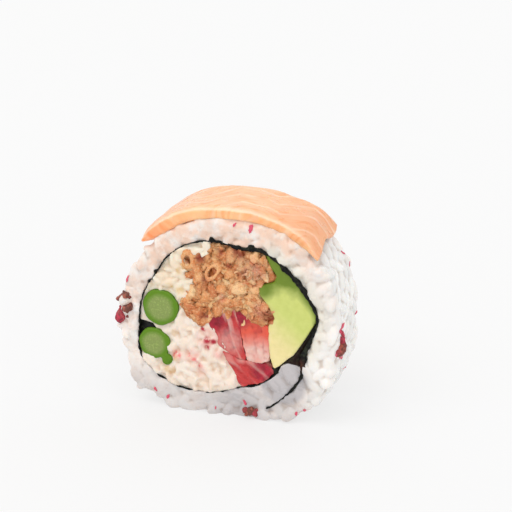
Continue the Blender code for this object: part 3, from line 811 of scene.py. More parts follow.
def make_rice(settings):
    draw = random.Random(SEED)
    grains = scatter_grains(settings, draw)
    core = outlined_block("core", rice_outline(), FRONT + CUT_INSET, BACK - CUT_INSET)
    rice = join("rice_grains", [core, grains.object("grains")])
    remesh(rice, RICE_VOXEL, rounds=2, factor=0.5)
    cut_faces(rice, CUT_STAND, CUT_SQUASH)
    cut_away(rice, filling_space())
    cut_away(rice, nori_band(0.12 * MM, 0.5))
    points = points_of(rice)
    points += normals_of(rice) * (0.04 * MM * noise_at(points, 800, 2))[:, None]
    points[:, 2] = np.maximum(points[:, 2], 0)
    set_points(rice, points)
    owner, _ = grains.owners_at(points)
    tones = np.array([draw.random() for _ in range(grains.count)])
    face = 1 - smoothstep(np.minimum(points[:, 1] - FRONT, BACK - points[:, 1]), 0.4 * MM, 3.5 * MM)
    top = smoothstep(points[:, 2], 14 * MM, 44 * MM)
    low = 1 - smoothstep(points[:, 2], 5.0 * MM, 12 * MM)
    leftwards = 1 - smoothstep(points[:, 0], 14 * MM, 22 * MM)
    from_centre = np.hypot(points[:, 0] - 12.8 * MM, points[:, 2] - 9.6 * MM)
    tongue = 1 - smoothstep(from_centre, 4.2 * MM, 7 * MM)
    mark(rice, "tone", tones[owner])
    mark(rice, "hollow", hollowness(rice, 14, 0.3 * MM))
    # The warm mask is painted light: warm light reflected from the fish and warm shade on the cut faces, stronger
    # towards the top and the left
    mark(rice, "warm_reflection_and_shade", np.clip(face * (0.4 + 0.6 * top) * (0.3 + 0.7 * leftwards), 0, 1))
    beside = 1 - smoothstep(edge_distance(points[:, [0, 2]], along_nori(-16, 58, 0)), 0.5 * MM, 4 * MM)
    mark(rice, "cream", 1.1 * face * beside)
    # The grey mask is partly wet rice and partly painted shade: the bottom of the cut faces, most at the left and under
    # the middle, and the tongue of rice
    under = np.exp(-(((points[:, 0] - 3 * MM) / (7 * MM)) ** 2))
    mark(rice, "wet_grey_and_shade", np.clip(face * np.maximum(low * leftwards * (0.5 + 0.4 * under), tongue * 1.2), 0, 1.2))
    look = Look("Rice", Roughness=0.35, IOR=1.38)
    # Painted reflection and shade: the warm colour broken into patches by noise
    patchy = look.math("MULTIPLY", look.attribute("warm_reflection_and_shade"), look.remap(look.noise(420), 0.35, 0.62, 0.3, 1.15))
    shade = look.mix(settings.white, settings.warm_reflection_and_shade, patchy)
    shade = look.mix(shade, settings.cream, look.attribute("cream"))
    # Painted shade and wet grey at the bottom of the cut faces
    shade = look.mix(shade, settings.wet_grey_and_shade, look.attribute("wet_grey_and_shade"))
    shade = look.mix(shade, look.mix(shade, (0.86, 0.86, 0.86), 1.0, "MULTIPLY"), look.attribute("tone"))
    # Painted shade: creases and hollows between the grains darkened
    crease_shade = look.remap(look.attribute("hollow"), 0.06, 0.7, 0.0, 0.9)
    shade = look.mix(shade, look.mix(shade, (0.76, 0.68, 0.62), 1.0, "MULTIPLY"), crease_shade)
    look.paint(shade)
    look.flesh(0.45, (1.0, 0.85, 0.7), 0.7 * MM)
    look.moist(1100, 0.04 * MM, 0.2, 0.36)
    return finish_piece(rice, "rice", look, "rice")


class URAMAKI_OT_rice(bpy.types.Operator):
    """Cover the roll with cooked grains"""

    bl_idname = "uramaki.rice"
    bl_label = "Rice"
    bl_options = {"REGISTER", "UNDO"}

    def execute(self, context):
        make_rice(context.scene.uramaki_rice)
        return {"FINISHED"}


# Nori


def make_nori(settings):
    """The seaweed sheet: a grid wound into the spiral and thickened unevenly, with torn cut edges."""
    start, end = NORI_KNOTS[0][0], NORI_KNOTS[-1][0]
    angles, thickness, proud = np.array(NORI_PROFILE).T
    deselect()
    bpy.ops.mesh.primitive_grid_add(x_subdivisions=460, y_subdivisions=12, size=1)
    nori = bpy.context.active_object
    share = points_of(nori)[:, :2] + 0.5
    degrees = start + (end - start) * share[:, 0]
    across = 0.5 - 0.5 * np.cos(math.pi * share[:, 1])
    radius = np.array([nori_radius(a) for a in degrees])
    around = np.stack([np.cos(np.radians(degrees)), np.sin(np.radians(degrees))], 1)
    flat = np.concatenate([around * radius[:, None], across[:, None] * DEPTH], 1)
    stand = np.interp(degrees, angles, proud) * MM
    near_edge = np.exp(-np.minimum(across, 1 - across) * 14)
    radius = radius + near_edge * 0.3 * MM * noise_at(flat, 1100, 3)
    torn = sum(height * np.exp(-(((degrees - at) / 1.2) ** 2)) for at, height in NORI_SPIKES)
    radius += near_edge * 0.5 * torn * MM
    stand += 0.35 * torn * MM
    ragged = 0.14 * MM * noise_at(flat, 1400, 1) + 0.12 * MM * noise_at(flat, 500, 2)
    front_edge = FRONT - stand - ragged
    back_edge = BACK + 0.3 * MM + 0.22 * MM * noise_at(flat, 1100, 5)
    y = front_edge + (back_edge - front_edge) * across
    points = np.stack([radius * around[:, 0], y, MIDDLE_Z + radius * around[:, 1]], 1)
    set_points(nori, points)
    thick = np.interp(degrees, angles, thickness) * (1 + 0.85 * noise_at(flat, 1000, 4)) + near_edge * torn
    group = nori.vertex_groups.new(name="thick")
    most = 1.5
    for index, value in enumerate(thick):
        group.add([index], float(np.clip(value / most, 0.05, 1)), "REPLACE")
    apply(nori, "SOLIDIFY", thickness=most * MM, offset=0, vertex_group="thick", use_even_offset=False)
    # Dark blocks of nori stand in for the shade in the deep gaps beside the fillings
    shade_block_outlines = [along_nori(*edge, 0) + in_metres(inner) for edge, inner in NORI_SHADE_BLOCKS]
    shade_blocks = [outlined_block("shade_block", block_outline, FRONT + SHADE_BLOCK_INSET, BACK - SHADE_BLOCK_INSET) for block_outline in shade_block_outlines]
    nori = join("nori_sheet", [nori, *shade_blocks])
    deselect()
    nori.select_set(True)
    bpy.context.view_layer.objects.active = nori
    bpy.ops.object.mode_set(mode="EDIT")
    bpy.ops.mesh.select_all(action="SELECT")
    bpy.ops.mesh.normals_make_consistent(inside=False)
    bpy.ops.object.mode_set(mode="OBJECT")
    points = points_of(nori)
    brown = np.exp(-(((points[:, 0] - 16.0 * MM) / (1.3 * MM)) ** 2) - (((points[:, 2] - 14.3 * MM) / (1.2 * MM)) ** 2))
    mark(nori, "brown", brown)
    look = Look("Nori", Roughness=0.6, Specular_IOR_Level=0.2)
    shade = look.mix(settings.dark, settings.green, look.mottle(1300, 0.52, 0.66))
    look.paint(look.mix(shade, settings.brown, look.attribute("brown")))
    look.moist(1600, 0.12 * MM, 0.4, 0.7)
    return finish_piece(nori, "nori", look, "nori")


# Dark blocks of nori that stand in for the shade in the deep gaps beside the fillings, painted shade made solid: a
# stretch of the sheet in degrees, then points in mm
SHADE_BLOCK_INSET = 0.35 * MM
NORI_SHADE_BLOCKS = (
    ((186, 196), ((-16.6, 18.6), (-17.4, 19.6))),
    ((-27, 4), ((17.4, 21.2), (16.8, 18.9), (15.0, 16.2), (13.2, 14.7), (12.6, 13.9), (14.4, 14.0))),
    ((311, 317), ((11.4, 12.4), (9.8, 12.4), (9.4, 11.4))),
)


class URAMAKI_OT_nori(bpy.types.Operator):
    """Wind the seaweed sheet into its spiral"""

    bl_idname = "uramaki.nori"
    bl_label = "Nori"
    bl_options = {"REGISTER", "UNDO"}

    def execute(self, context):
        make_nori(context.scene.uramaki_nori)
        return {"FINISHED"}


# Salmon

SALMON_OVER = (
    (-20.1, 39.1), (-19.0, 41.2), (-17.5, 43.0), (-14.7, 45.2), (-10.7, 47.2), (-6.0, 48.3), (-0.3, 48.8),
    (5.4, 48.6), (9.8, 47.6), (14.3, 45.8), (17.7, 43.2), (20.9, 39.0),
)  # fmt: skip
SALMON_UNDER = (
    (-19.3, 38.6), (-17.3, 39.0), (-14.2, 40.4), (-11.5, 42.3), (-9.2, 43.7), (-6.0, 44.7), (-0.3, 45.4),
    (5.4, 45.4), (8.7, 44.6), (13.0, 43.2), (16.6, 41.0), (20.6, 38.2),
)  # fmt: skip


def resampled(line, shares):
    """Points of a smooth open line at shares of its length."""
    points = np.array(line) * MM
    fine = []
    last = len(points) - 1
    for i in range(last):
        around = [points[min(max(k, 0), last)] for k in range(i - 1, i + 3)]
        fine += [catmull_rom(*around, t / 8) for t in range(8)]
    fine = np.array(fine + [points[-1]])
    run = np.concatenate([[0], np.cumsum(np.hypot(*np.diff(fine, axis=0).T))])
    return np.stack([np.interp(shares * run[-1], run, fine[:, k]) for k in (0, 1)], 1)


def make_salmon(settings):
    """The draped slice: a grid laid along its middle line, thickened, rounded and given its fibres."""
    deselect()
    bpy.ops.mesh.primitive_grid_add(x_subdivisions=150, y_subdivisions=48, size=1)
    salmon = bpy.context.active_object
    salmon.name = salmon.data.name = "salmon_slice"
    share = points_of(salmon)[:, :2] + 0.5
    over, under = resampled(SALMON_OVER, share[:, 0]), resampled(SALMON_UNDER, share[:, 0])
    middle = (over + under) / 2
    half = np.hypot(*(over - under).T) / 2
    lift = np.clip(share[:, 1], 0, 1)
    notch = np.exp(-(((share[:, 1] - 0.42) / 0.2) ** 2)) * 1.3 - np.exp(-(((share[:, 1] - 0.8) / 0.2) ** 2)) * 0.5
    back_pull = smoothstep(share[:, 0], 0.7, 1.0) * (lift * 2.6 + notch) * MM
    y = FRONT - 0.15 * MM + (DEPTH + 0.1 * MM) * share[:, 1]
    uneven = noise_at(np.stack([share[:, 0] * 46 * MM, share[:, 1] * 0, share[:, 1] * 0], 1), 230, 4)
    wave = 0.35 * MM * uneven * smoothstep(-share[:, 1], -0.15, 0)
    points = np.stack([middle[:, 0] - back_pull * 0.25, y - wave, middle[:, 1] + back_pull], 1)
    set_points(salmon, points)
    rounding = 0.6 + 0.4 * smoothstep(np.minimum(share[:, 1], 1 - share[:, 1]), 0, 0.1)
    thickness = 2 * half * rounding * (1 + 0.12 * noise_at(points, 250, 8))
    group = salmon.vertex_groups.new(name="thick")
    most = 3.2 * MM
    for index, value in enumerate(thickness / most):
        group.add([index], float(np.clip(value, 0.02, 1)), "REPLACE")
    apply(salmon, "SOLIDIFY", thickness=most, offset=0, vertex_group="thick", use_even_offset=False)
    remesh(salmon, 0.3 * MM, rounds=9, factor=0.6)
    points = points_of(salmon)
    normals = normals_of(salmon)
    along = np.degrees(np.arctan2(points[:, 2] - MIDDLE_Z, points[:, 0]))
    run = (SALMON_LEFT - along) / 101.0 * 46
    depth = (points[:, 1] - FRONT) / MM
    warp = 1.3 * noise_at(points, 130, 6) + 0.5 * noise_at(points, 420, 7)
    zigzag = np.abs(((run + 0.35 * depth) / 17.0) % 1 - 0.5) * 2 * 3.6
    slant = depth - 0.3 * run + zigzag + warp
    band = np.abs(((slant / 5.2) % 1) - 0.5) * 2 * 2.6
    fat_and_highlight = (1 - smoothstep(band, 0.05, 0.55)) * (0.55 + 0.6 * noise_at(points, 260, 12))
    fat_and_highlight *= 1 - 0.5 * smoothstep(-normals[:, 1], 0.3, 0.8)
    strand = np.stack([run * 0.22, slant * 1.2, points[:, 2] * 0], 1) * MM
    fibre = 0.6 * noise_at(strand, 1000, 3) + 0.6 * noise_at(strand, 2300, 5)
    outer = smoothstep(normals[:, 2], 0.1, 0.6)
    relief = outer * MM * (0.08 * fibre - 0.08 * fat_and_highlight) + 0.12 * MM * noise_at(points, 170, 9)
    set_points(salmon, points + normals * relief[:, None])
    # Painted highlight: a pale line along the ridge where the top meets the front cut face, stored with the fat lines
    ridge = np.exp(-(((depth + 0.0) / 0.7) ** 2)) * smoothstep(normals[:, 2], 0.2, 0.6)
    mark(salmon, "fat_and_highlight", np.maximum(fat_and_highlight, 0.8 * ridge * smoothstep(along, 30, 60)))
    mark(salmon, "fibre", np.clip(0.5 + 0.8 * fibre, 0, 1))
    mark(salmon, "far_end", 1 - smoothstep(along, 40, 85))
    mark(salmon, "cut", smoothstep(-normals[:, 1], 0.25, 0.8) * 0.7)
    mark(salmon, "tip", smoothstep(along, 112, 136) * (0.5 + 0.5 * smoothstep(-normals[:, 1], 0.2, 0.7)))
    look = Look("Salmon", Roughness=0.3, IOR=1.4)
    shade = look.mix(settings.flesh, settings.cut, look.attribute("cut"))
    shade = look.mix(shade, settings.tip, look.attribute("tip"))
    shade = look.mix(shade, look.mix(shade, (0.98, 0.88, 0.8), 1.0, "MULTIPLY"), look.mottle(150, 0.4, 0.7))
    strands = look.remap(look.attribute("fibre"), 0.45, 0.9)
    shade = look.mix(shade, look.mix(shade, (0.95, 0.76, 0.6), 1.0, "MULTIPLY"), strands)
    shade = look.mix(shade, look.mix(shade, (0.88, 0.8, 0.74), 1.0, "MULTIPLY"), look.attribute("far_end"))
    # Fat lines and the painted ridge highlight
    shade = look.mix(shade, settings.fat_and_highlight, look.remap(look.attribute("fat_and_highlight"), 0.0, 1.0, 0.0, 0.7))
    look.paint(shade)
    look.flesh(0.4, (1.0, 0.5, 0.3), 1.2 * MM)
    look.moist(1100, 0.04 * MM, 0.24, 0.42)
    return finish_piece(salmon, "salmon", look, "salmon")


class URAMAKI_OT_salmon(bpy.types.Operator):
    """Drape the slice of fish over the top"""

    bl_idname = "uramaki.salmon"
    bl_label = "Salmon"
    bl_options = {"REGISTER", "UNDO"}

    def execute(self, context):
        make_salmon(context.scene.uramaki_salmon)
        return {"FINISHED"}


# Asparagus


def lobed_circle(x, z, radius, sides, lobes=0.02):
    loop = []
    for k in range(sides):
        turn = 2 * math.pi * k / sides
        r = radius * (1 + lobes * math.sin(3 * turn + 1) + lobes * 0.7 * math.sin(7 * turn))
        loop.append((x + r * math.cos(turn), z + r * math.sin(turn)))
    return in_metres(loop)


def make_asparagus(settings):
    for name, (x, z, radius) in ASPARAGUS.items():
        parts = [outlined_block("spear", lobed_circle(x, z, radius + 0.12, 48), FRONT - 0.2 * MM, BACK + 0.2 * MM)]
        if name == "asparagus_lower":
            leaf = outlined_block("leaf", lobed_circle(*SCALE_LEAF, 24, 0.05), FRONT - 0.3 * MM, BACK + 0.3 * MM)
            parts.append(leaf)
        spear = join(name + "_spear", parts)
        remesh(spear, 0.22 * MM, rounds=5, factor=0.6)
        points = points_of(spear)
        normals = normals_of(spear)
        from_axis = np.hypot(points[:, 0] - x * MM, points[:, 2] - z * MM) / (radius * MM)
        face = smoothstep(np.abs(normals[:, 1]), 0.5, 0.9)
        dome = face * 0.28 * MM * (1 - from_axis**2)
        pith = face * 0.06 * MM * noise_at(points * np.array((1, 0.1, 1)), 2600, 4)
        shift = normals * (dome + pith + 0.05 * MM * noise_at(points, 500, radius))[:, None]
        set_points(spear, points + shift)
        mark(spear, "from_axis", from_axis)
        mark(spear, "cut", face)
        look = Look("Asparagus " + name.split("_")[1], Roughness=0.35, IOR=1.4)
        speck = look.noise(2300, 2.0, 0.6, look.turned(scale=(1, 0.25, 1)))
        uneven = look.math("ADD", look.attribute("from_axis"), look.remap(look.noise(420), 0, 1, -0.1, 0.1))
        core = look.mix(settings.stalk_core, tuple(min(1, c * 1.3) for c in settings.stalk_core), look.remap(speck, 0.5, 0.66))
        shade = look.mix(core, settings.stalk_rim, look.remap(uneven, 0.58, 0.86))
        skin = look.mix(settings.stalk_rim, tuple(c * 0.55 for c in settings.stalk_rim), look.mottle(500))
        look.paint(look.mix(skin, shade, look.attribute("cut")))
        look.flesh(0.25, (0.5, 1.0, 0.3), 0.8 * MM)
        look.moist(1500, 0.06 * MM, 0.28, 0.45)
        finish_piece(spear, "asparagus", look, name)


class URAMAKI_OT_asparagus(bpy.types.Operator):
    """Lay the two spears side by side"""

    bl_idname = "uramaki.asparagus"
    bl_label = "Asparagus"
    bl_options = {"REGISTER", "UNDO"}

    def execute(self, context):
        make_asparagus(context.scene.uramaki_fillings)
        return {"FINISHED"}


# Avocado


def make_avocado(settings):
    outline = edged_outline(AVOCADO_EDGE, AVOCADO_CUT, -0.1 * MM)
    wedge = outlined_block("avocado_wedge", outline)
    remesh(wedge, 0.3 * MM, rounds=6, factor=0.6)
    points = points_of(wedge)
    shift = 0.12 * MM * noise_at(points, 190, 2) + 0.03 * MM * noise_at(points * np.array((1, 1, 0.3)), 900, 5)
    set_points(wedge, points + normals_of(wedge) * shift[:, None])
    flat = points[:, [0, 2]]
    skin = edge_distance(flat, along_nori(66, 4, 0))
    mark(wedge, "skin", skin / MM)
    heart = (points[:, 2] / MM - 13) / 20 + (points[:, 0] / MM - 9) / 24
    mark(wedge, "heart", np.clip(heart, 0, 1.4))
    look = Look("Avocado", Roughness=0.4, IOR=1.42)
    drift = look.remap(look.noise(170, 2.0), 0, 1, -0.9, 0.9)
    skin_level = look.math("ADD", look.attribute("skin"), drift)
    height = look.node("ShaderNodeSeparateXYZ", {0: look.place}).outputs["Z"]
    reach = look.remap(height, 19 * MM, 34 * MM, 0.4, 3.2)
    beside_skin = look.remap(look.math("DIVIDE", skin_level, reach), 0.1, 1.0, 1.0, 0.0)
    upper = look.math("ADD", height, look.remap(look.noise(260, 3.0), 0, 1, -3 * MM, 3 * MM))
    greenness = look.math("MAXIMUM", beside_skin, look.remap(upper, 29 * MM, 32.5 * MM, 0.0, 0.95))
    shade = look.mix(settings.avocado_heart, settings.avocado_flesh, look.remap(look.attribute("heart"), 0.36, 0.8))
    shade = look.mix(shade, settings.avocado_skin, greenness)
    tab = look.turned(centre=(8.2 * MM, FRONT, 30.7 * MM))
    near = look.node("ShaderNodeVectorMath", {0: tab}, operation="LENGTH").outputs["Value"]
    shade = look.mix(shade, settings.avocado_skin, look.remap(near, 1.2 * MM, 3.0 * MM, 0.85, 0.0))
    shade = look.mix(shade, look.mix(shade, (0.93, 0.94, 0.86), 1.0, "MULTIPLY"), look.mottle(700))
    look.paint(shade)
    look.flesh(0.35, (0.8, 0.9, 0.3), 1.0 * MM)
    look.moist(1200, 0.04 * MM, 0.34, 0.5)
    return finish_piece(wedge, "avocado", look, "avocado")


class URAMAKI_OT_avocado(bpy.types.Operator):
    """Cut the avocado wedge"""

    bl_idname = "uramaki.avocado"
    bl_label = "Avocado"
    bl_options = {"REGISTER", "UNDO"}

    def execute(self, context):
        make_avocado(context.scene.uramaki_fillings)
        return {"FINISHED"}


# Strawberries: inset of the cut face, lean of the veins in radians, the pale part's place, reach and strength,
# strength of the veins, and the crimson part's place and reach, in mm
STREAKS = {
    "strawberry_left": (0.2, 0.32, (0.6, 17.6), 4.2, 0.45, 0.55, (-3.0, 22.6), 4.2),
    "strawberry_right": (0.0, 0.1, (6.8, 13.6), 7.4, 1.0, 0.3, (2.6, 24.0), 4.0),
    "strawberry_lower": (0.1, 0.9, (3.2, 14.0), 1.8, 0.5, 0.35, (8.4, 12.0), 4.0),
}


def make_strawberries(settings):
    for index, (name, points) in enumerate(STRAWBERRIES.items()):
        outline = smooth_loop(in_metres(points))
        inset, lean, pale_at, pale_reach, paleness, veins, crimson_at, crimson_reach = STREAKS[name]
        berry = outlined_block(name + "_flesh", outline, FRONT + inset * MM, BACK - inset * MM)
        remesh(berry, 0.25 * MM, rounds=6, factor=0.6)
        keep_within_nori(berry, 0.05 * MM)
        co = points_of(berry)
        across = co[:, 0] * math.cos(lean) + co[:, 2] * math.sin(lean)
        run = co[:, 0] * math.sin(lean) - co[:, 2] * math.cos(lean)
        stretched = np.stack([across, co[:, 1] * 0.5, run * 0.2], 1)
        ridge = noise_at(stretched, 750, index + 1) + 0.45 * noise_at(stretched, 2100, index + 7)
        shift = 0.3 * MM * ridge + 0.35 * MM * noise_at(co, 260, index + 3) + 0.16 * MM * noise_at(co, 1100, index + 11)
        set_points(berry, co + normals_of(berry) * shift[:, None])
        mark(berry, "streak", 0.5 + 0.5 * ridge)
        mark(berry, "hollow", hollowness(berry, 12, 0.2 * MM))
        far = np.hypot(co[:, 0] / MM - pale_at[0], co[:, 2] / MM - pale_at[1])
        mark(berry, "pale", (1 - smoothstep(far, 0.25 * pale_reach, pale_reach)) * paleness)
        far = np.hypot(co[:, 0] / MM - crimson_at[0], co[:, 2] / MM - crimson_at[1])
        mark(berry, "crimson", 1 - smoothstep(far, 0.4 * crimson_reach, crimson_reach))
        look = Look(f"Strawberry {index + 1}", Roughness=0.25, IOR=1.38)
        lightness, patches = (0.95, 0.3) if name == "strawberry_right" else (0.35, 1.0)
        light = look.mix(settings.berry, settings.berry_light, lightness)
        patchy = look.math("MULTIPLY", look.mottle(420, 0.52, 0.66), patches)
        deep = look.math("MAXIMUM", look.attribute("crimson"), patchy)
        red = look.mix(light, look.mix(settings.berry, tuple(c * 0.6 for c in settings.berry), look.mottle(700)), deep)
        streak = look.remap(look.attribute("streak"), 0.52, 0.8, 0.0, veins)
        drift = look.remap(look.noise(500), 0.3, 0.7, 0.65, 1.15)
        pale = look.math("MULTIPLY", look.attribute("pale"), drift, True)
        shade = look.mix(red, settings.berry_pale, look.math("MAXIMUM", pale, streak))
        # Painted shade: hollows in the cut face darkened
        crease_shade = look.remap(look.attribute("hollow"), 0.05, 0.8, 0.0, 0.6)
        look.paint(look.mix(shade, look.mix(shade, (0.66, 0.32, 0.32), 1.0, "MULTIPLY"), crease_shade))
        look.flesh(0.3, (1.0, 0.3, 0.2), 1.0 * MM)
        look.moist(1300, 0.05 * MM, 0.18, 0.35)
        finish_piece(berry, "strawberry", look, name)


class URAMAKI_OT_strawberries(bpy.types.Operator):
    """Set the three pieces of strawberry"""

    bl_idname = "uramaki.strawberries"
    bl_label = "Strawberries"
    bl_options = {"REGISTER", "UNDO"}

    def execute(self, context):
        make_strawberries(context.scene.uramaki_fillings)
        return {"FINISHED"}


# Fried onion


ONION_VOXEL = 0.23 * MM
ONION_SHADES = {  # places of each shade in mm: x, z and reach
    # The pale places are lighter flakes, with painted highlights on the big lumps there
    "pale": ((2.6, 30.3, 2.6), (-7.6, 28.6, 2.0), (3.3, 37.0, 1.2)),
    "brown": (
        (-7.2, 23.0, 3.0), (0.5, 37.8, 3.6), (-4.6, 31.0, 2.6), (-3.0, 29.0, 1.6), (1.6, 25.0, 2.8), (-5.6, 20.6, 2.6),
        (6.4, 24.0, 2.4),
    ),
    "rosy": ((5.8, 34.6, 4.2), (-1.5, 27.8, 1.8), (8.4, 26.0, 3.0)),
    # The dark places are deep crevices, painted as shade
    "dark": (
        (9.6, 24.4, 1.9), (-5.4, 23.0, 1.3), (-5.9, 36.6, 1.7), (-5.0, 31.4, 1.0), (3.0, 39.0, 2.2), (-1.5, 38.4, 1.2),
        (0.6, 35.6, 0.8), (-3.4, 33.5, 0.9), (-9.0, 35.7, 1.0),
    ),
}  # fmt: skip
BIG_LUMPS = (  # x, z, degrees from +X, scale and tone, in mm
    (-7.9, 28.6, 80, 1.2, 0.7), (-4.9, 27.2, 10, 1.1, 0.62), (0.2, 26.8, 0, 1.15, 0.6), (6.5, 37.8, 85, 1.2, 0.75),
    (3.2, 36.8, 60, 0.95, 0.8), (2.6, 30.3, 5, 1.35, 0.85), (6.0, 30.2, -20, 0.95, 0.8), (-9.2, 25.8, 95, 1.05, 0.6),
    (-6.9, 23.4, 40, 1.1, 0.3), (8.6, 26.6, -60, 1.05, 0.35), (5.6, 27.2, -10, 0.95, 0.65), (-1.4, 29.7, 30, 1.05, 0.5),
    (-6.6, 32.0, 70, 1.0, 0.72), (0.8, 33.6, -50, 1.0, 0.5), (-0.6, 37.6, -20, 1.0, 0.4), (-6.6, 37.2, 20, 1.0, 0.4),
    (-7.0, 34.6, 60, 1.1, 0.3),
)  # fmt: skip
RINGS = (  # x, z, degrees from +X, long and short width, and tone, in mm
    (-9.0, 35.7, 92, 5.4, 3.0, 0.5), (-3.3, 33.5, -50, 4.9, 2.8, 0.7),
)  # fmt: skip


def scatter_mass(outline, kinds, draw, holes=()):
    """Bits piled on both cut faces of a filling. kinds: shapes, spacing, lowest and highest seat, scale range, tilt."""
    bits = Scatter()
    for side in (FRONT, BACK):
        out = math.copysign(1, side)
        for shapes, spacing, (low, high), sizes, tilt in kinds:
            for x, z in spots(outline, spacing, draw, holes):
                y = side + out * draw.uniform(low, high)
                spin, lean = draw.uniform(0, 2 * math.pi), draw.uniform(-tilt, tilt)
                matrix = lying_matrix((x, y, z), Vector((0, out, 0)), spin, lean, draw.uniform(*sizes))
                bits.add(draw.choice(shapes), matrix)
    return bits


def keep_within_nori(obj, gap):
    """Pulls vertices that reach past the inside of the nori back to it."""
    angles = np.arange(TONGUE_ANGLE, NORI_KNOTS[-1][0] + 1)
    radii = np.array([nori_radius(a) for a in angles])
    points = points_of(obj)
    rise = points[:, 2] - MIDDLE_Z
    degrees = (np.degrees(np.arctan2(rise, points[:, 0])) - TONGUE_ANGLE) % 360 + TONGUE_ANGLE
    far = np.hypot(points[:, 0], rise)
    pull = np.minimum(1, (np.interp(degrees, angles, radii) - gap) / np.maximum(far, MM))
    points[:, 0] *= pull
    points[:, 2] = MIDDLE_Z + rise * pull
    set_points(obj, points)


def nearness(points, places):
    """How near each point is to the nearest of the places, as x, z and reach in mm."""
    share = np.zeros(len(points))
    for x, z, reach in places:
        far = np.hypot(points[:, 0] / MM - x, points[:, 2] / MM - z)
        share = np.maximum(share, 1 - smoothstep(far, 0.35 * reach, 1.1 * reach))
    return share


def make_onion(settings):
    draw = random.Random(SEED + 1)
    outline = edged_outline(ONION_EDGE, ONION_INNER)
    lumps = [prototype("lump", (2.2 * MM, 2.1 * MM, 3.0 * MM), 0.7, 0.0, seed) for seed in range(6)]
    thin = [prototype("grain", (0.6 * MM, 2.1 * MM, 3.4 * MM), 1.1, 0.4, seed + 9) for seed in range(8)]
    rooms = [lobed_circle(x, z, 0.5 * short, 12) for x, z, _, _, short, _ in RINGS]
    flaky = (
        (thin, 2.3 * MM, (-0.6 * MM, -0.15 * MM), (0.9, 1.5), 0.5),
        (thin, 2.1 * MM, (-0.5 * MM, 0.0), (0.45, 0.9), 0.9),
    )
    flakes = scatter_mass(grown(outline, -1.1 * MM), flaky, draw, rooms)
    bits = scatter_mass(outline, ((lumps, 2.1 * MM, (-1.5 * MM, -0.9 * MM), (0.8, 1.15), 0.4),), draw, rooms)
    tones = [draw.random() for _ in range(bits.count)]
    for side in (FRONT, BACK):
        out = math.copysign(1, side)
        for k, (x, z, turn, scale, tone) in enumerate(BIG_LUMPS):
            place = (x * MM, side - out * 0.45 * MM, z * MM)
            matrix = lying_matrix(place, Vector((0, out, 0)), -out * math.radians(90 - turn), 0, scale)
            bits.add(lumps[k % len(lumps)], matrix)
            tones.append(tone)
        for k, (x, z, turn, long, short, tone) in enumerate(RINGS):
            ring = prototype("ring", (long * MM, short * MM, 2.6 * MM), 0.25, 0.0, k)
            place = (x * MM, side + out * 0.2 * MM, z * MM)
            matrix = lying_matrix(place, Vector((0, out, 0)), -out * math.radians(90 - turn), 0.12, 1)
            bits.add(ring, matrix @ Matrix.Rotation(math.pi / 2, 4, "Y"))
            tones.append(tone)
    core = outlined_block("core", grown(outline, -0.25 * MM), FRONT + 0.75 * MM, BACK - 0.75 * MM)
    onion = join("onion_flakes", [core, bits.object("bits")])
    remesh(onion, ONION_VOXEL, rounds=2, factor=0.5)
    owner, _ = bits.owners_at(points_of(onion))
    shared = np.array(tones)[owner]
    loose = flakes.object("flakes")
    own = np.array([draw.random() for _ in range(flakes.count)])[flakes.owners_at(points_of(loose))[0]]
    onion = join("onion_flakes", [onion, loose])
    keep_within_nori(onion, 0.2 * MM)
    points = points_of(onion)
    rough = 0.14 * noise_at(points, 600, 1) + 0.08 * noise_at(points, 1500, 4) + 0.05 * noise_at(points, 3200, 2)
    set_points(onion, points + normals_of(onion) * rough[:, None] * MM)
    mark(onion, "tone", np.concatenate([shared, own]))
    mark(onion, "hollow", hollowness(onion, 14, 0.4 * MM))
    for shade_name, places in ONION_SHADES.items():
        mark(onion, shade_name, nearness(points, places))
    look = Look("Fried onion", Roughness=0.5, IOR=1.45)
    tone = look.attribute("tone")
    shade = look.mix(settings.onion_gold, settings.onion_pale, look.remap(tone, 0.6, 0.95, 0.0, 1.0))
    shade = look.mix(shade, settings.onion_brown, look.remap(tone, 0.45, 0.1, 0.0, 0.7))
    tinting = (("pale", settings.onion_pale), ("brown", settings.onion_brown), ("rosy", settings.onion_pink))
    for shade_name, tinted in tinting:
        drift = look.math("MULTIPLY", look.attribute(shade_name), look.remap(look.noise(420), 0.35, 0.6, 0.2, 0.85))
        shade = look.mix(shade, tinted, drift)
    toasted = look.mottle(800, 0.45, 0.68)
    shade = look.mix(shade, look.mix(shade, (0.88, 0.68, 0.5), 1.0, "MULTIPLY"), toasted)
    shade = look.mix(shade, settings.onion_pale, look.math("MULTIPLY", look.mottle(2600, 0.5, 0.7), 0.6))
    grainy = look.math("MULTIPLY", look.mottle(3400, 0.54, 0.72), 0.4)
    shade = look.mix(shade, settings.onion_dark_and_shade, grainy)
    # Painted shade: crevices, hollows and the dark places darkened
    crease_shade = look.remap(look.attribute("hollow"), 0.15, 0.95, 0.0, 0.8)
    crevice_shade_spot = look.math("MULTIPLY", look.attribute("dark"), look.mottle(600, 0.3, 0.55))
    look.paint(look.mix(shade, settings.onion_dark_and_shade, look.math("MAXIMUM", crease_shade, crevice_shade_spot)))
    look.flesh(0.25, (1.0, 0.55, 0.3), 0.7 * MM)
    look.moist(2200, 0.12 * MM, 0.3, 0.6)
    return finish_piece(onion, "onion", look, "crispy_onion")


class URAMAKI_OT_onion(bpy.types.Operator):
    """Pile up the fried onion flakes"""

    bl_idname = "uramaki.onion"
    bl_label = "Fried onion"
    bl_options = {"REGISTER", "UNDO"}

    def execute(self, context):
        make_onion(context.scene.uramaki_fillings)
        return {"FINISHED"}


# Crab salad

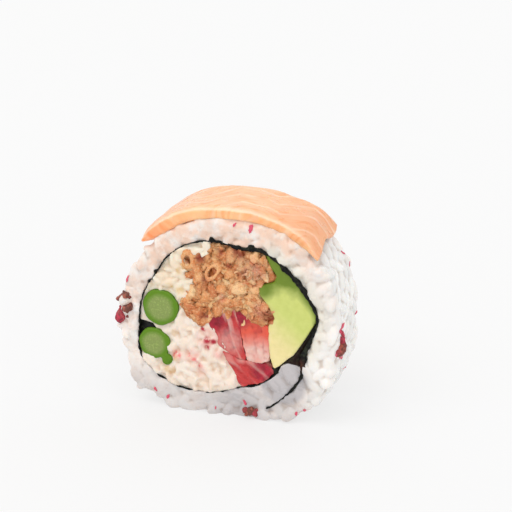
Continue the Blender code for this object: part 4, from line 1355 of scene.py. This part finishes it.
CRAB_VOXEL = 0.27 * MM
PINK_MARKS = ((-11.5, 13.1, 1.2), (-12.3, 12.7, 0.8), (-7.5, 12.2, 1.0), (-6.2, 11.0, 0.7), (-8.6, 13.2, 0.8))
JUICE_MARKS = ((-4.6, 17.3, 1.1), (-3.2, 17.1, 0.9), (-4.6, 15.6, 0.8), (-5.6, 19.8, 0.8))
BLUSHES = ((-4.6, 17.8, 3.4), (-8.0, 13.2, 2.6), (-1.8, 14.6, 2.0), (-11.6, 13.0, 1.8), (-6.2, 10.0, 2.0))
CRAB_STAINS = (
    (-12.3, 18.0, 1.3), (-10.8, 28.2, 1.4), (-13.0, 29.4, 1.0), (-12.0, 12.0, 1.2), (-13.6, 9.2, 1.6),
    (-11.0, 33.0, 1.0), (-13.2, 20.6, 0.9),
)  # fmt: skip


def make_crab(settings):
    draw = random.Random(SEED + 2)
    outline = edged_outline(CRAB_EDGE, CRAB_INNER, 0.15 * MM)
    spears = [lobed_circle(x, z, radius + 0.4, 24) for x, z, radius in ASPARAGUS.values()]
    spears.append(lobed_circle(SCALE_LEAF[0], SCALE_LEAF[1], SCALE_LEAF[2] + 0.6, 12))
    onion = grown(edged_outline(ONION_EDGE, ONION_INNER), -1.0 * MM)
    berries = [grown(smooth_loop(in_metres(points)), 0.5 * MM) for points in STRAWBERRIES.values()]
    side = in_metres(((-23.0, 25.0), (-16.0, 24.0), (-17.0, 13.0), (-23.0, 12.6)))
    holes = [*spears, onion, *berries, side]
    lumps = [prototype("lump", (2.6 * MM, 2.5 * MM, 3.5 * MM), 0.45, 0.1, seed) for seed in range(5)]
    shreds = [prototype("lump", (1.1 * MM, 1.1 * MM, 3.6 * MM), 0.35, 0.3, seed + 5) for seed in range(5)]
    small = [prototype("lump", (1.2 * MM, 1.3 * MM, 1.6 * MM), 0.4, 0.0, seed + 12) for seed in range(3)]
    kinds = (
        (lumps, 2.4 * MM, (-1.2 * MM, -0.6 * MM), (0.75, 1.15), 0.3),
        (shreds, 3.0 * MM, (-0.5 * MM, -0.05 * MM), (0.75, 1.2), 0.3),
        (small, 3.2 * MM, (-0.4 * MM, 0.1 * MM), (0.7, 1.1), 0.4),
    )
    bits = scatter_mass(outline, kinds, draw, holes)
    core = outlined_block("core", outline, FRONT + 0.45 * MM, BACK - 0.45 * MM)
    crab = join("crab_shreds", [core, bits.object("bits")])
    remesh(crab, CRAB_VOXEL, rounds=3, factor=0.5)
    keep_within_nori(crab, 0.05 * MM)
    for hole in [lobed_circle(x, z, radius - 0.4, 32) for x, z, radius in ASPARAGUS.values()]:
        cut_away(crab, hole)
    cut_away(crab, grown(edged_outline(ONION_EDGE, ONION_INNER), -1.2 * MM))
    drop_specks(crab, 60)
    points = points_of(crab)
    rough = 0.18 * MM * noise_at(points, 480, 1) + 0.06 * MM * noise_at(points, 1700, 2)
    set_points(crab, points + normals_of(crab) * rough[:, None])
    owner, _ = bits.owners_at(points)
    tones = np.array([draw.random() for _ in range(bits.count)])
    mark(crab, "tone", tones[owner])
    mark(crab, "pink", nearness(points, PINK_MARKS))
    mark(crab, "cream", smoothstep(points[:, 2], 20 * MM, 28 * MM))
    mark(crab, "stain", nearness(points, CRAB_STAINS))
    mark(crab, "blush", nearness(points, BLUSHES))
    mark(crab, "juice", nearness(points, JUICE_MARKS))
    mark(crab, "hollow", hollowness(crab, 12, 0.35 * MM))
    look = Look("Crab salad", Roughness=0.35, IOR=1.4)
    shade = look.mix(settings.crab, settings.crab_cream, look.attribute("cream"))
    shade = look.mix(shade, look.mix(shade, (0.96, 0.9, 0.84), 1.0, "MULTIPLY"), look.attribute("tone"))
    stained = look.math("MULTIPLY", look.attribute("stain"), look.mottle(500, 0.3, 0.7))
    shade = look.mix(shade, look.mix(shade, (0.84, 0.66, 0.36), 1.0, "MULTIPLY"), stained)
    blush = look.math("MULTIPLY", look.attribute("blush"), look.mottle(450, 0.3, 0.65))
    shade = look.mix(shade, settings.crab_pink, look.math("MULTIPLY", blush, 0.42))
    patchy = look.math("MULTIPLY", look.attribute("pink"), look.mottle(900, 0.35, 0.6))
    shade = look.mix(shade, settings.crab_pink, patchy)
    shade = look.mix(shade, settings.berry, look.math("MULTIPLY", look.attribute("juice"), look.mottle(800, 0.3, 0.5)))
    # Painted shade: hollows between the lumps darkened
    crease_shade = look.remap(look.attribute("hollow"), 0.05, 0.7, 0.0, 0.75)
    look.paint(look.mix(shade, look.mix(shade, (0.86, 0.7, 0.56), 1.0, "MULTIPLY"), crease_shade))
    look.flesh(0.35, (1.0, 0.7, 0.5), 0.9 * MM)
    look.moist(1500, 0.05 * MM, 0.26, 0.45)
    return finish_piece(crab, "crab", look, "crab_salad")


class URAMAKI_OT_crab(bpy.types.Operator):
    """Fill the rest with crab salad"""

    bl_idname = "uramaki.crab"
    bl_label = "Crab salad"
    bl_options = {"REGISTER", "UNDO"}

    def execute(self, context):
        make_crab(context.scene.uramaki_fillings)
        return {"FINISHED"}


# Dried berry on the rice: x, y, z, radius, stretch along the surface and share of husk, in mm

CRUMBS = (
    (-24.6, -7.4, 20.2, 1.5, 1.3, 0.0), (-24.2, -8.0, 21.8, 1.0, 1.1, 0.4), (-23.7, -8.0, 23.6, 1.3, 1.0, 1.0),
    (-23.4, -8.0, 25.2, 0.8, 1.1, 0.9), (-24.4, -7.3, 24.8, 0.6, 1.3, 0.7), (25.3, -6.4, 18.2, 1.5, 0.95, 0.75),
    (25.4, -5.6, 19.9, 0.95, 0.95, 0.1), (25.2, -5.2, 21.2, 0.55, 1.5, 0.0), (4.2, -8.5, 1.9, 0.7, 1.0, 0.5), (5.4, -8.5, 1.5, 1.1, 0.9, 0.9),
    (6.8, -8.5, 1.2, 0.8, 0.9, 0.4), (-24.0, 2.0, 14.0, 0.8, 1.2, 0.3),
    (-23.6, 7.4, 24.0, 0.7, 1.3, 0.4),
)  # fmt: skip
FLECKS = (
    (25.0, -4.6, 22.6, 0.7, 1.6), (25.0, -5.4, 21.8, 0.6, 1.3), (24.6, -7.6, 17.6, 0.5, 1.4), (24.9, -5.4, 16.2, 0.4, 1.6),
    (25.0, 7.4, 21.6, 0.45, 1.5), (23.2, 7.4, 32.6, 0.5, 2.0), (21.9, 6.0, 35.8, 0.6, 1.4),
    (24.9, -3.2, 14.9, 0.45, 1.5), (5.6, -9.0, 44.6, 0.75, 1.5), (2.0, -9.0, 45.2, 0.45, 1.6),
    (-22.9, -8.0, 29.6, 0.6, 1.8), (-14.0, -9.0, 2.6, 0.5, 1.7), (-17.0, -8.8, 4.0, 0.45, 1.6),
    (4.2, -8.9, 3.7, 0.5, 1.4), (-2.6, -8.9, 1.5, 0.35, 1.0), (17.8, -8.4, 3.0, 0.6, 1.2), (16.4, -8.6, 2.3, 0.4, 1.3),
    (-23.0, 4.5, 30.0, 0.5, 1.5), (-22.8, 8.4, 22.0, 0.5, 1.4), (14.0, 9.0, 41.0, 0.5, 1.5), (-16.0, 9.0, 39.0, 0.5, 1.4),
    (23.6, 2.4, 10.4, 0.4, 1.6), (24.6, -7.2, 17.0, 0.4, 1.7), (-6.0, 9.0, 2.2, 0.5, 1.4), (19.8, 9.0, 8.0, 0.6, 1.3),
)  # fmt: skip


def make_crumbs(settings, rice):
    """Crumbs and thin flecks of dried berry, pressed into the rice."""
    draw = random.Random(SEED + 3)
    tree = BVHTree.FromPolygons(points_of(rice).tolist(), triangles_of(rice).tolist(), all_triangles=True)
    lumps = [prototype("lump", (2 * MM, 2 * MM, 2 * MM), 0.5, 0.1, seed + 30) for seed in range(5)]
    thin = [prototype("lump", (0.4 * MM, 1.4 * MM, 2.2 * MM), 0.8, 0.2, seed + 40) for seed in range(4)]
    bits = Scatter()
    husk = []
    for x, y, z, radius, stretch, share in CRUMBS:
        place, outward, _, _ = tree.find_nearest(Vector((x, y, z)) * MM)
        matrix = lying_matrix(place + outward * 0.25 * radius * MM, outward, draw.uniform(-0.4, 0.4), 0, radius)
        bits.add(draw.choice(lumps), matrix @ Matrix.Diagonal((0.8, 0.95, stretch, 1)))
        husk.append(share)
        for _ in range(5):
            aside = Vector((draw.uniform(-1, 1), draw.uniform(-1, 1), draw.uniform(-1, 1))) * radius * MM
            place, outward, _, _ = tree.find_nearest(Vector((x, y, z)) * MM + aside)
            spin, lean = draw.uniform(0, 3), draw.uniform(-0.5, 0.5)
            matrix = lying_matrix(place + outward * 0.12 * radius * MM, outward, spin, lean, radius)
            bits.add(draw.choice(lumps), matrix @ Matrix.Scale(draw.uniform(0.25, 0.45), 4))
            husk.append(min(1, max(0, share + draw.uniform(-0.4, 0.4))))
    for x, y, z, radius, stretch in FLECKS:
        place, outward, _, _ = tree.find_nearest(Vector((x, y, z)) * MM)
        matrix = lying_matrix(place + outward * 0.06 * MM, outward, draw.uniform(-0.5, 0.5), 0, 1)
        bits.add(draw.choice(thin), matrix @ Matrix.Diagonal((1, radius, radius * stretch, 1)))
        husk.append(-0.5)
    crumbs = bits.object("berry_crumbs")
    remesh(crumbs, 0.16 * MM, rounds=1)
    drop_specks(crumbs, 24)
    points = points_of(crumbs)
    points += normals_of(crumbs) * (0.18 * MM * noise_at(points, 1500, 3))[:, None]
    points[:, 2] = np.maximum(points[:, 2], 0)
    set_points(crumbs, points)
    owner, _ = bits.owners_at(points)
    mark(crumbs, "husk", np.array(husk)[owner])
    look = Look("Dried berry", Roughness=0.6)
    shade = look.mix(settings.crumb, tuple(c * 0.4 for c in settings.crumb), look.mottle(1300))
    tan = tuple(min(1, c * 2.6) for c in settings.bran)
    husk_shade = look.mix(settings.bran, tan, look.mottle(1000, 0.48, 0.6))
    shade = look.mix(shade, husk_shade, look.remap(look.attribute("husk"), 0.2, 0.8))
    look.paint(look.mix(shade, settings.fleck, look.remap(look.attribute("husk"), -0.1, -0.4)))
    look.flesh(0.25, (1.0, 0.3, 0.3), 0.4 * MM)
    look.moist(2600, 0.08 * MM, 0.4, 0.7)
    return finish_piece(crumbs, "strawberry", look)


class URAMAKI_OT_crumbs(bpy.types.Operator):
    """Press the dried berry crumbs into the rice"""

    bl_idname = "uramaki.crumbs"
    bl_label = "Berry crumbs"
    bl_options = {"REGISTER", "UNDO"}

    def execute(self, context):
        rice = bpy.data.objects.get("rice_grains")
        if rice is None:
            raise RuntimeError("make the rice before its crumbs")
        make_crumbs(context.scene.uramaki_rice, rice)
        return {"FINISHED"}


# Stage

CAMERA_AZIMUTH = 18.0
CAMERA_ELEVATION = 20.0
CAMERA_DISTANCE = 420 * MM
CAMERA_TARGET = (3.95 * MM, 0.0, 35.1 * MM)
CAMERA_LENS = 134.2
WORLD_STRENGTH = 0.98
FLOOR_GREY = (0.32, 0.32, 0.32)
FLOOR_GLOW = 0.58


def direction(azimuth, elevation):
    """Unit vector from the object towards that azimuth and elevation."""
    a, e = math.radians(azimuth), math.radians(elevation)
    return Vector((math.sin(a) * math.cos(e), -math.cos(a) * math.cos(e), math.sin(e)))


def add_sun(name, azimuth, elevation, strength, softness, tone):
    light = bpy.data.lights.new(name, "SUN")
    light.energy = strength
    light.angle = math.radians(softness)
    light.color = tone
    obj = bpy.data.objects.new(name, light)
    obj.rotation_euler = direction(azimuth, elevation).to_track_quat("Z", "Y").to_euler()
    bpy.context.scene.collection.objects.link(obj)


def make_stage():
    """A bright floor that glows like a light table, soft light all round and the camera."""
    deselect()
    bpy.ops.mesh.primitive_plane_add(size=8)
    floor = bpy.context.active_object
    floor.name = "floor"
    look = Look("Floor", Roughness=0.9, Specular_IOR_Level=0.0, Emission_Strength=FLOOR_GLOW)
    look.fill(look.shader, {"Emission Color": (1.0, 1.0, 1.0, 1.0)})
    look.paint(look.mix(FLOOR_GREY, tuple(c * 0.99 for c in FLOOR_GREY), look.noise(8.0)))
    floor.data.materials.append(look.material)
    world = bpy.data.worlds.new("Studio")
    world.use_nodes = True
    world.node_tree.nodes["Background"].inputs["Color"].default_value = (1.0, 1.0, 1.0, 1)
    world.node_tree.nodes["Background"].inputs["Strength"].default_value = WORLD_STRENGTH
    bpy.context.scene.world = world
    add_sun("Key", -40, 58, 0.55, 40, (1.0, 0.99, 0.97))
    add_sun("Front", 30, 40, 0.35, 70, (1.0, 1.0, 1.0))
    camera = bpy.data.objects.new("Camera", bpy.data.cameras.new("Camera"))
    bpy.context.scene.collection.objects.link(camera)
    camera.data.sensor_width = 36
    camera.data.lens = CAMERA_LENS
    back = direction(CAMERA_AZIMUTH, CAMERA_ELEVATION)
    camera.location = Vector(CAMERA_TARGET) + back * CAMERA_DISTANCE
    camera.rotation_euler = back.to_track_quat("Z", "Y").to_euler()
    camera.data.clip_start, camera.data.clip_end = 0.01, 20
    bpy.context.scene.camera = camera
    bpy.context.scene.view_settings.view_transform = "Standard"


class URAMAKI_OT_stage(bpy.types.Operator):
    """Set the floor, the lights and the camera"""

    bl_idname = "uramaki.stage"
    bl_label = "Stage"
    bl_options = {"REGISTER", "UNDO"}

    def execute(self, context):
        make_stage()
        return {"FINISHED"}


OPERATORS = (
    URAMAKI_OT_stage, URAMAKI_OT_rice, URAMAKI_OT_nori, URAMAKI_OT_salmon, URAMAKI_OT_asparagus,
    URAMAKI_OT_avocado, URAMAKI_OT_strawberries, URAMAKI_OT_onion, URAMAKI_OT_crab, URAMAKI_OT_crumbs,
)  # fmt: skip
SETTINGS = {
    "uramaki_rice": RiceSettings,
    "uramaki_nori": NoriSettings,
    "uramaki_salmon": SalmonSettings,
    "uramaki_fillings": FillingSettings,
}


class URAMAKI_PT_panel(bpy.types.Panel):
    """Sizes, colours and one button for each piece"""

    bl_idname = "URAMAKI_PT_panel"
    bl_label = "Uramaki Roll"
    bl_space_type = "VIEW_3D"
    bl_region_type = "UI"
    bl_category = "Uramaki"

    def draw(self, context):
        for name, group in SETTINGS.items():
            box = self.layout.box()
            for key in group.__annotations__:
                box.prop(getattr(context.scene, name), key)
        for operator in OPERATORS:
            self.layout.operator(operator.bl_idname)


def register():
    for item in (*SETTINGS.values(), *OPERATORS, URAMAKI_PT_panel):
        bpy.utils.register_class(item)
    for name, group in SETTINGS.items():
        setattr(bpy.types.Scene, name, PointerProperty(type=group))


def unregister():
    for name in SETTINGS:
        delattr(bpy.types.Scene, name)
    for item in (URAMAKI_PT_panel, *reversed(OPERATORS), *reversed(SETTINGS.values())):
        bpy.utils.unregister_class(item)


def main():
    register()
    bpy.ops.uramaki.stage()
    bpy.ops.uramaki.rice()
    bpy.ops.uramaki.nori()
    bpy.ops.uramaki.salmon()
    bpy.ops.uramaki.asparagus()
    bpy.ops.uramaki.avocado()
    bpy.ops.uramaki.strawberries()
    bpy.ops.uramaki.onion()
    bpy.ops.uramaki.crab()
    bpy.ops.uramaki.crumbs()


if __name__ == "__main__":
    main()
